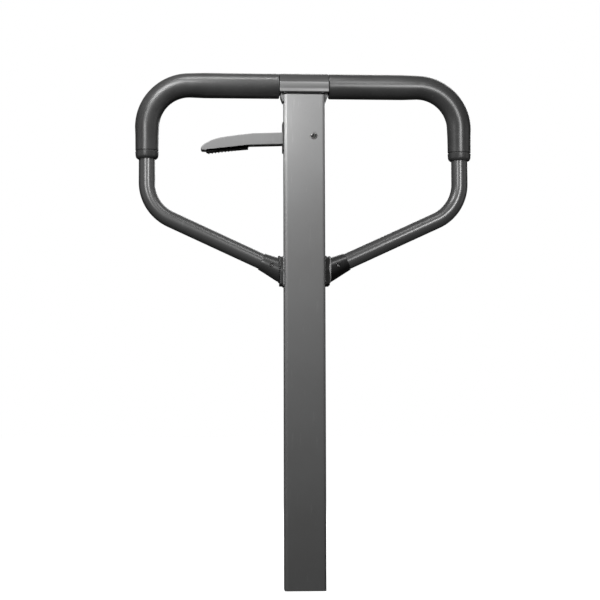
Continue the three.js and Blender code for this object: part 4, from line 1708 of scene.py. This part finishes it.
    def lay_bead(
        self, name: str, stations: Sequence[Station], finish: Finish, girth: float, ripple: float
    ) -> None:
        """Weld bead along a closed line.

        Args:
            name: The piece's name.
            stations: Points of the line.
            finish: The bead's finish.
            girth: The bead's mean radius.
            ripple: Distance between its ripples.
        """
        line = line_of(name, stations, closed=True)
        piece = self.forms.weld.run(line, finish, Girth=girth, Ripple=ripple)
        self.dress(piece, finish, Body.FRAME, sharp=60, narrow=0.01 * MM)

    def pins(self) -> None:
        """Rolled spring pins through the collars, front to back."""
        names = [f"socket_pin_{side.word}" for side in Side]
        rooms = [Room.of(name) for name in names]
        half, bore, radius, gap = rooms[0].size.y / 2, 1.3 * MM, 2.5 * MM, 0.45 * MM
        profile = ring_profile(-2 * half, 0.0, bore, radius, 0.35 * MM)
        pin = turned("pin", Vector(), Axis.Z.along, profile, sides=40, around=True)
        slit = rectangle(0.0, radius + 1 * MM, -gap, gap, 0.0)
        cut(pin, prism("slit", Axis.Z, slit, -2 * half - PAST, PAST))
        places = [(Vector((room.centre.x, -half, room.centre.z)), -Axis.Y.along) for room in rooms]
        self.place_copies("collar_pins", pin, SPRING_STEEL, places, *names)


@dataclass
class LeverAssembly(SubAssembly):
    """Squeeze lever with its pad, pivot, and the detent that holds its three positions."""

    hub: float = 8.5 * MM
    half_width: float = 8 * MM
    cheek: float = 3 * MM
    edge: float = 1.3 * MM
    fork: float = 4.5 * MM
    fork_gap: float = 4.6 * MM
    roller: float = 5 * MM
    axle: float = 2 * MM
    bush_hole: float = 5.9 * MM
    link_hole: float = 3.3 * MM
    pin: float = 4 * MM
    pin_bore: float = 2.4 * MM
    bush: float = 5.6 * MM
    bush_bore: float = 4.3 * MM
    rib: float = 0.9 * MM
    pivot: Vector = field(default_factory=Vector)

    def build(self) -> None:
        """Builds and dresses every piece."""
        self.pivot = Room.of("pivot_pin").centre
        self.lever()
        self.pad()
        self.pivot_pieces()
        self.detent()

    def from_pivot(self, corners: Sequence[Corner]) -> list[Corner]:
        """Corners given in millimetres left of the pivot and above it, as places in X and Z.

        Args:
            corners: Distance left, height and radius of each.

        Returns:
            Corners in metres.
        """
        x, z = self.pivot.x, self.pivot.z
        return [(x - left * MM, z + up * MM, radius * MM) for left, up, radius in corners]

    def lever(self) -> None:
        """Pressed blade with a channel below, its hub, and the fork for the detent roller."""
        top = [(0, 7.5, 0), (36, 5.6, 60), (75, 4.2, 60), (95, 1.8, 60), (114.5, -1.2, 40), (125, -4.4, 25)]
        tip = [(134, -9.2, 10), (138.5, -14, 2.2), (137, -17, 1.2), (131, -17.4, 6)]
        under = [(118, -15.6, 40), (79, -10.6, 60), (46, -9.6, 60), (0, -7.5, 0)]
        outline = rounded_corners(self.from_pivot(top + tip + under), steps=6)
        half, pivot, along = self.half_width, self.pivot, Axis.Y.along
        piece = prism("squeeze_lever", Axis.Y, outline, -half, half, rim=self.edge, steps=5)
        front = Vector((pivot.x, -half, pivot.z))
        add(piece, turned("hub", front, along, bar_profile(0, 2 * half, self.hub, 0.8 * MM), sides=64))
        roller_z = Room.of("detent_roller").centre.z
        fork, round_top = self.fork, self.fork - 0.01 * MM
        arm = rectangle(pivot.x - fork, pivot.x + fork, pivot.z, roller_z + fork, round_top, steps=10)
        add(piece, prism("arm", Axis.Y, arm, -half, half, rim=0.6 * MM))
        channel = [(10.3, 3.5, 1.0), (36, 2.6, 0), (75, 1.2, 0), (95, -1.2, 0), (113.5, -4.1, 1.5)]
        channel += [(113.5, -60, 0), (10.3, -60, 0)]
        inner = half - self.cheek
        hollow = rounded_corners(self.from_pivot(channel))
        cut(piece, prism("channel", Axis.Y, hollow, -inner, inner, rim=0.8 * MM))
        through, far = 2 * half + PAST, 50 * MM
        drill(piece, front, along, self.bush_hole, through)
        gap_z = (roller_z - self.roller - 0.6 * MM, roller_z + far)
        gap = rectangle(pivot.x - far, pivot.x + far, *gap_z, 0.0)
        cut(piece, prism("gap", Axis.Y, gap, -self.fork_gap, self.fork_gap))
        drill(piece, Vector((pivot.x, -half, roller_z)), along, self.axle + HAIR, through)
        link = Room.of("link_pin").centre
        drill(piece, Vector((link.x, -half, link.z)), along, self.link_hole, through)
        soften(piece, width=0.3 * MM)
        self.dress(piece, LEVER_PAINT, Body.LEVER, "control_lever", narrow=0.6 * MM)

    def pad(self) -> None:
        """Rubber finger pad under the blade's outer end, ribbed across."""
        face = [(80, -11.05, 1.2), (118, -15.9, 40), (131, -17.7, 0)]
        below = [(131, -19.3, 1.6), (118, -17.6, 40), (80, -12.8, 1.2)]
        outline = rounded_corners(self.from_pivot(face + below))
        half = self.half_width
        pad = prism("finger_pad", Axis.Y, outline, -half, half, rim=0.6 * MM)
        tongue = [(82, -12, 0), (109, -15.2, 0), (109, -9.6, 0), (82, -6.3, 0)]
        inner = half - self.cheek - HAIR
        shape = rounded_corners(self.from_pivot(tongue))
        add(pad, prism("tongue", Axis.Y, shape, -inner, inner, rim=0.4 * MM))
        profile = bar_profile(-half + 1 * MM, half - 1 * MM, self.rib, 0.5 * MM)
        rib = turned("rib", Vector(), Axis.Z.along, profile, sides=16)
        count, first, pitch, sunk = 12, 84.0, 4.0, 0.15
        outer_end, knee, inner_end = below
        places = []
        for k in range(count):
            left = first + pitch * k
            near, far = (inner_end, knee) if left < knee[0] else (knee, outer_end)
            share = (left - near[0]) / (far[0] - near[0])
            drop = near[1] + (far[1] - near[1]) * share - sunk
            x, z, _ = self.from_pivot([(left, drop, 0)])[0]
            places.append((Vector((x, 0.0, z)), Axis.Y.along))
        ribs = self.forms.copies.run(points_of("ribs", places), GRIP_RUBBER, Fastener=rib)
        bpy.data.objects.remove(rib)
        add(pad, ribs)
        self.dress(pad, GRIP_RUBBER, Body.LEVER, "lever_pad", narrow=0.2 * MM)

    def pivot_pieces(self) -> None:
        """Slit spring pin, bush and thrust washers."""
        along, room = Axis.Y.along, Room.of("pivot_pin")
        foot = Vector((self.pivot.x, 0.0, self.pivot.z))
        half = room.size.y / 2
        profile = ring_profile(-half, half, self.pin_bore, self.pin, 0.5 * MM)
        pin = turned("pivot_spring_pin", foot, along, profile, sides=56, around=True)
        x, z, slit = self.pivot.x, self.pivot.z, 0.6 * MM
        tool = rectangle(x - self.pin - PAST, x - 1 * MM, z - slit, z + slit, 0.0)
        cut(pin, prism("slit", Axis.Y, tool, -half - PAST, half + PAST))
        self.dress(pin, SPRING_STEEL, Body.FRAME, "pivot_pin")
        profile = ring_profile(-self.half_width, self.half_width, self.bush_bore, self.bush, 0.3 * MM)
        bush = turned("hub_bush", foot, along, profile, sides=56, around=True)
        self.dress(bush, BRONZE, Body.LEVER, "pivot_bush")
        for name, node in (("front_washer", "pivot_washer_front"), ("back_washer", "pivot_washer_back")):
            low, high = Room.of(node).low.y, Room.of(node).high.y
            profile = ring_profile(low, high, self.bush_bore, self.hub, 0.4 * MM)
            washer = turned(name, foot, along, profile, sides=56, around=True)
            self.dress(washer, NYLON, Body.FRAME, node)

    def detent(self) -> None:
        """Roller and its pin, and the riveted leaf spring over it."""
        along, room = Axis.Y.along, Room.of("detent_roller")
        foot = Vector((room.centre.x, 0.0, room.centre.z))
        half = room.size.y / 2
        radius, bore, lead = self.roller, self.axle + HAIR, 0.3 * MM
        tread = [(half, 0.5 * MM), (half - 0.4 * MM, 0.15 * MM), (half - 1.5 * MM, 0.0)]
        crowned = [(-y, radius - drop) for y, drop in tread]
        crowned += [(y, radius - drop) for y, drop in reversed(tread)]
        crowned += [(half, bore + lead), (half - lead, bore)]
        crowned += [(-half + lead, bore), (-half, bore + lead)]
        roller = turned("detent_wheel", foot, along, crowned, sides=48, around=True)
        self.dress(roller, ZINC, Body.ROLLER, "detent_roller")
        profile = bar_profile(-self.half_width, self.half_width, self.axle, 0.35 * MM)
        self.dress(turned("detent_axle", foot, along, profile, sides=32), ZINC, Body.LEVER, "roller_pin")
        self.leaf()

    def leaf(self) -> None:
        """Bent leaf spring and its flush rivets."""
        room = Room.of("detent_leaf_spring")
        thick, bend, tip_rise = 0.8 * MM, 1.8 * MM, 3 * MM
        tip, wall, low, top = room.low.x, room.high.x, room.low.z, room.high.z
        line = [
            (wall, top, 0.3 * MM),
            (wall - thick, top, 0.3 * MM),
            (wall - thick, low + thick, bend - thick),
            (tip + 3 * MM, low + thick, 4 * MM),
            (tip, low + tip_rise + thick, 0.2 * MM),
            (tip, low + tip_rise, 0.2 * MM),
            (tip + 3 * MM, low, 4 * MM),
            (wall, low, bend),
        ]
        half = room.size.y / 2
        leaf = prism("detent_leaf", Axis.Y, rounded_corners(line, steps=6), -half, half, rim=0.2 * MM)
        names = ("leaf_rivet_front", "leaf_rivet_back")
        rivets, shank = [Room.of(name) for name in names], 2 * MM
        for rivet in rivets:
            place = Vector((wall, rivet.centre.y, rivet.centre.z))
            drill(leaf, place, -Axis.X.along, shank + HAIR, thick + PAST + 0.2 * MM)
        self.dress(leaf, SPRING_STEEL, Body.FRAME, "detent_leaf_spring")
        length = rivets[0].size.x
        profile = [(0.0, 1.6 * MM), (0.25 * MM, 2.6 * MM), (0.7 * MM, 3 * MM), (1.0 * MM, 3 * MM)]
        profile += [(1.0 * MM, shank), (length - 1.4 * MM, shank), (length - 1.4 * MM, 3.65 * MM)]
        profile += [(length - 1.25 * MM, 3.8 * MM), (length - 0.3 * MM, 3.8 * MM)]
        profile += [(length - 0.05 * MM, 3.5 * MM), (length, 3.0 * MM)]
        rivet = turned("rivet", Vector((0, 0, -length)), Axis.Z.along, profile, sides=40)
        places = [(Vector((r.high.x, r.centre.y, r.centre.z)), Axis.X.along) for r in rivets]
        self.place_copies("leaf_rivets", rivet, ZINC, places, *names)


@dataclass
class Linkage(SubAssembly):
    """Pull rod and all that joins it to the lever above and the release chain below."""

    rod: float = 3 * MM
    pitch: float = 1.0 * MM
    thread: float = 22 * MM
    eye_thread: float = 26 * MM
    across_flats: float = 10 * MM
    seat_pin: float = 1.25 * MM
    wire: float = 1.6 * MM
    coil_turns: float = 6.0
    axis_x: float = 0.0

    def build(self) -> None:
        """Builds and dresses every piece."""
        self.axis_x = Room.of("pull_rod").centre.x
        self.clevis()
        self.rod_and_nuts()
        self.spring()
        self.eye()

    def on_axis(self, z: float = 0.0) -> Vector:
        """Point on the rod's axis."""
        return Vector((self.axis_x, 0.0, z))

    def clevis(self) -> None:
        """Yoke, link pin and the pin's retaining ring."""
        along, pin, clip, yoke = Axis.Y.along, *map(Room.of, ("link_pin", "link_clip", "rod_yoke"))
        x, z, length = self.axis_x, pin.centre.z, pin.size.y
        head, head_height, shank, tail = 4.5 * MM, 1.5 * MM, 3 * MM, 1.3 * MM
        profile = bar_profile(0.0, head_height, head, 0.35 * MM)
        profile += [(head_height, shank), (length - tail, shank), (length, shank * 0.8)]
        piece = turned("clevis_pin", Vector((x, pin.low.y, z)), along, profile, sides=40)
        self.dress(piece, ZINC, Body.LEVER, "link_pin")
        ring_outer, gap, mouth_depth = 5 * MM, 1.7 * MM, 8 * MM
        profile = ring_profile(clip.low.y, clip.high.y, shank + HAIR, ring_outer, 0.15 * MM)
        ring = turned("clevis_ring", self.on_axis(z), along, profile, sides=40, around=True)
        mouth = rectangle(x - gap, x + gap, z - mouth_depth, z, 0.0)
        cut(ring, prism("mouth", Axis.Y, mouth, clip.low.y - PAST, clip.high.y + PAST))
        self.dress(ring, SPRING_STEEL, Body.LEVER, "link_clip")
        width, slot_x, slot_z, almost = yoke.size.x / 2, 3.9 * MM, 3.3 * MM, 0.01 * MM
        outline = rectangle(x - width, x + width, yoke.low.z - width, yoke.high.z, width - almost, steps=12)
        block = prism("clevis_yoke", Axis.Y, outline, yoke.low.y, yoke.high.y, rim=0.5 * MM)
        slice_off(block, self.on_axis(yoke.low.z), -Axis.Z.along)
        slot = rectangle(x - slot_x, x + slot_x, z - slot_z, z + slot_z, slot_z - almost, steps=10)
        cut(block, prism("slot", Axis.Y, slot, yoke.low.y - PAST, yoke.high.y + PAST))
        drill(block, self.on_axis(yoke.low.z), Axis.Z.along, self.rod + HAIR, 12.3 * MM)
        soften(block, width=0.3 * MM)
        self.dress(block, ZINC, Body.LINKAGE, "rod_yoke")

    def hexagon(self, name: str, node: str) -> bpy.types.Object:
        """Hexagon nut with chamfered corners and a threaded bore.

        Args:
            name: The piece's name.
            node: The node that it stands for.

        Returns:
            The nut.
        """
        room, radius = Room.of(node), self.across_flats / math.sqrt(3)
        low, high = room.low.z, room.high.z
        turns = [math.radians(60 * k) for k in range(6)]
        outline = [(self.axis_x + radius * math.cos(a), radius * math.sin(a)) for a in turns]
        nut = prism(name, Axis.Z, outline, low, high)
        flat, chamfer, lead = self.across_flats / 2 * 0.97, 0.75 * MM, 0.5 * MM
        tip, bore, mouth = radius + 0.1 * MM, self.rod + HAIR, self.rod + 0.8 * MM
        cone = [(low, flat), (low + chamfer, tip), (high - chamfer, tip), (high, flat)]
        combine(nut, Operation.KEEP_SHARED, turned("cone", self.on_axis(), Axis.Z.along, cone, sides=60))
        bore = [
            (low - PAST, mouth),
            (low, mouth),
            (low + lead, bore),
            (high - lead, bore),
            (high, mouth),
            (high + PAST, mouth),
        ]
        cut(nut, turned("bore", self.on_axis(), Axis.Z.along, bore, sides=40))
        soften(nut, width=0.15 * MM, angle=55)
        return self.dress(nut, ZINC, Body.LINKAGE, node)

    def rod_and_nuts(self) -> None:
        """Rod with threaded ends, its nuts, and the spring's seat with its pin."""
        room = Room.of("pull_rod")
        low, high, thread, runout = room.low.z, room.high.z, self.thread, 0.3 * MM
        seat, seat_pin = Room.of("spring_seat"), Room.of("seat_pin")
        profile = thread_profile(low, low + thread, self.rod, self.pitch)
        profile += [(low + thread + runout, self.rod), (high - thread - runout, self.rod)]
        profile += thread_profile(high - thread, high, self.rod, self.pitch)
        rod = turned("draw_rod", self.on_axis(), Axis.Z.along, profile, sides=32)
        before, hole = Vector((self.axis_x, -8 * MM, seat_pin.centre.z)), self.seat_pin + 0.2 * MM
        drill(rod, before, Axis.Y.along, hole, 20 * MM)
        self.dress(rod, ZINC, Body.LINKAGE, "pull_rod", narrow=0.1 * MM)
        self.hexagon("yoke_nut", "yoke_lock_nut")
        self.hexagon("rod_coupling", "coupling_nut")
        self.hexagon("eye_nut", "eye_lock_nut")
        washer = ring_profile(seat.low.z, seat.high.z, self.rod + HAIR, seat.size.x / 2, 0.3 * MM)
        piece = turned("coil_seat", self.on_axis(), Axis.Z.along, washer, sides=48, around=True)
        self.dress(piece, ZINC, Body.LINKAGE, "spring_seat")
        profile = bar_profile(seat_pin.low.y, seat_pin.high.y, self.seat_pin, 0.3 * MM)
        piece = turned("coil_seat_pin", self.on_axis(seat_pin.centre.z), Axis.Y.along, profile, sides=28)
        self.dress(piece, SPRING_STEEL, Body.LINKAGE, "seat_pin")

    def spring(self) -> None:
        """Return spring, coiled from the top of the spring seat up to the foot of the upper guide."""
        room, wire = Room.of("return_spring"), self.wire
        bottom, top = Room.of("spring_seat").high.z, Room.of("upper_guide").low.z
        piece = self.forms.coil.run(
            line_of("return_coil", [Station(Vector())]),
            SPRING_STEEL,
            Turns=self.coil_turns,
            Coil_radius=(room.size.y - wire) / 2,
            Height=top - bottom - wire - 2 * HAIR,
            Wire=wire,
            Foot=tuple(self.on_axis(bottom + wire / 2 + HAIR)),
        )
        for polygon in piece.data.polygons:
            polygon.use_smooth = len(polygon.vertices) == 4
        mark_worn_edges(piece.data, 0.0)
        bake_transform(piece)
        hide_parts("return_spring")
        LOG.info("%s: bends between frame and linkage", piece.name)

    def eye(self) -> None:
        """Eye bolt for the release chain."""
        room, wire, right = Room.of("chain_eye_bolt"), self.rod, Axis.X.along
        centre_z, mean = room.low.z + room.size.y / 2, room.size.y / 2 - wire
        turns = [2 * math.pi * k / 56 for k in range(56)]
        section = [(wire * math.cos(b), wire * math.sin(b)) for b in (math.pi * k / 12 for k in range(24))]
        rings = []
        for a in turns:
            out = Vector((0.0, math.cos(a), math.sin(a)))
            rings.append([self.on_axis(centre_z) + out * (mean + u) + right * v for u, v in section])
        piece = skin("release_eye", rings, around=True)
        neck, thread_start = centre_z + mean, room.high.z - self.eye_thread
        profile = [(neck - 0.5 * MM, wire * 1.25), (neck + 2.5 * MM, wire * 1.1), (neck + 4.5 * MM, wire)]
        profile += [(thread_start, wire)]
        profile += thread_profile(thread_start + 0.3 * MM, room.high.z, wire, self.pitch)
        add(piece, turned("shank", self.on_axis(), Axis.Z.along, profile, sides=32))
        self.dress(piece, ZINC, Body.LINKAGE, "chain_eye_bolt", narrow=0.1 * MM)


# ---------------------------------------------------------------- studio


SHAFT = ("box_shaft",)
LEFT_TUBES = ("bent_loop", "left_grip", "left_collar", "left_weld")
RIGHT_TUBES = ("bent_loop", "right_grip", "right_root_weld")
GRIPS = ("left_grip", "right_grip")


@dataclass(frozen=True)
class Softbox:
    """Rectangular studio light, for every piece or only for those that it reaches."""

    name: str
    place: tuple[float, float, float]
    target: tuple[float, float, float]
    size: tuple[float, float]
    power: float
    reaches: tuple[str, ...] = ()

    def build(self) -> None:
        """Makes the light, aimed at its target and unseen by the camera."""
        data = bpy.data.lights.new(self.name, "AREA")
        data.shape = "RECTANGLE"
        data.size, data.size_y = self.size
        data.energy = self.power
        light = into_scene(self.name, data)
        light.location = self.place
        aim = Vector(self.target) - Vector(self.place)
        light.rotation_euler = aim.to_track_quat("-Z", "Y").to_euler()
        light.visible_camera = False
        if self.reaches:
            reached = bpy.data.collections.new(f"{self.name}_reaches")
            for name in self.reaches:
                reached.objects.link(bpy.data.objects[name])
            light.light_linking.receiver_collection = reached


@dataclass
class Studio:
    """Pale floor, soft lights, and the camera with its distance in metres and its turns in radians."""

    target: tuple[float, float, float] = (-0.00534, 0.0, 0.35032)
    distance: float = 2.041
    turn: float = math.radians(-3.498)
    tilt: float = math.radians(-4.342)
    roll: float = math.radians(-0.1455)
    lens: float = 100.4
    sensor: float = 36.0
    clip: tuple[float, float] = (0.05, 100.0)
    room_light: float = 0.02
    floor_levels: tuple[float, float] = (0.78, 0.82)
    floor_half: float = 30.0
    floor_drop: float = 0.5 * MM
    lights: tuple[Softbox, ...] = (
        Softbox("key_left", (-0.24, -0.30, 0.78), (-0.02, 0.0, 0.50), (0.16, 0.12), 1.6),
        Softbox("key_right", (0.10, -0.30, 0.80), (0.10, 0.0, 0.50), (0.16, 0.12), 0.5),
        Softbox("near_left", (-0.09, -0.07, 0.575), (-0.01, 0.0, 0.57), (0.03, 0.03), 0.08, SHAFT),
        Softbox("middle", (-0.30, -0.60, 0.58), (0.0, 0.0, 0.45), (0.3, 0.2), 1.1, SHAFT),
        Softbox("fill_left", (-1.5, -0.3, 0.5), (0.0, 0.0, 0.5), (0.8, 0.8), 1.0),
        Softbox("fill_right", (1.5, -0.3, 0.5), (0.0, 0.0, 0.5), (0.8, 0.8), 1.3),
        Softbox("fill_back", (0.5, 1.4, 1.3), (0.0, 0.0, 0.35), (1.2, 1.2), 16.0),
        Softbox("strip_left", (-0.80, -1.6, 0.70), (-0.19, 0.0, 0.50), (0.35, 0.3), 12.0, LEFT_TUBES),
        Softbox("strip_right", (0.42, -1.6, 0.70), (0.19, 0.0, 0.50), (0.25, 0.3), 14.0, RIGHT_TUBES),
        Softbox("bar_strip", (-0.12, -0.33, 1.25), (-0.11, 0.0, 0.62), (0.3, 0.05), 3.0, GRIPS),
    )

    def build(self) -> None:
        """Makes the floor, the world, the lights and the camera."""
        self.floor()
        self.world()
        for light in self.lights:
            light.build()
        self.camera()
        bpy.context.scene.view_settings.view_transform = "Standard"
        bpy.context.scene.cycles.use_denoising = True

    def floor(self) -> None:
        """Plain pale floor just under the shaft's foot."""
        half = self.floor_half
        mesh = bmesh.new()
        corners = [(-half, -half), (half, -half), (half, half), (-half, half)]
        mesh.faces.new([mesh.verts.new((*corner, -self.floor_drop)) for corner in corners])
        floor = new_piece("floor", mesh)
        material = bpy.data.materials.new("pale_floor")
        material.use_nodes = True
        bench = Bench(material.node_tree)
        colour = bench.mix(bench.noise(0.4, 2.0), *map(rgba, self.floor_levels))
        glow = {"Emission Color": rgba(1.0), "Emission Strength": 1.0}
        bench.surface({"Base Color": colour, "Roughness": 0.8, **glow})
        floor.data.materials.append(material)
        floor.visible_diffuse = False
        floor.visible_glossy = False

    def world(self) -> None:
        """White backdrop for the camera, and a dim even room for the light."""
        world = bpy.data.worlds.new("studio")
        bpy.context.scene.world = world
        world.use_nodes = True
        bench = Bench(world.node_tree)
        backdrop = bench.node("ShaderNodeBackground", None, {"Color": rgba(1.0), "Strength": 1.0})
        room = bench.node("ShaderNodeBackground", None, {"Color": rgba(1.0), "Strength": self.room_light})
        seen = bench.node("ShaderNodeLightPath").outputs["Is Camera Ray"]
        sockets = {0: seen, 1: room.outputs[0], 2: backdrop.outputs[0]}
        mixed = bench.node("ShaderNodeMixShader", None, sockets)
        bench.node("ShaderNodeOutputWorld", None, {"Surface": mixed.outputs[0]})

    def camera(self) -> None:
        """Long lens from the operator's side, a little low and to the left."""
        turn, tilt = self.turn, self.tilt
        ahead = (-math.sin(turn) * math.cos(tilt), math.cos(turn) * math.cos(tilt), -math.sin(tilt))
        forward, right = Vector(ahead), Vector((math.cos(turn), math.sin(turn), 0.0))
        data = bpy.data.cameras.new("camera")
        data.lens, data.sensor_width = self.lens, self.sensor
        data.clip_start, data.clip_end = self.clip
        made = into_scene("camera", data)
        facing = Matrix((right, right.cross(forward), -forward)).transposed()
        turned_to = facing @ Matrix.Rotation(self.roll, 3, "Z")
        place = Vector(self.target) - forward * self.distance
        made.matrix_world = Matrix.Translation(place) @ turned_to.to_4x4()
        bpy.context.scene.camera = made


def main() -> None:
    """Builds the sub-assemblies in order, then the studio."""
    logging.basicConfig(level=logging.INFO, format="%(name)s: %(message)s")
    forms = Forms()
    for assembly in (ShaftAssembly(forms), LoopAssembly(forms), LeverAssembly(forms), Linkage(forms)):
        LOG.info("building %s", type(assembly).__name__)
        assembly.build()
    Studio().build()


if __name__ == "__main__":
    main()
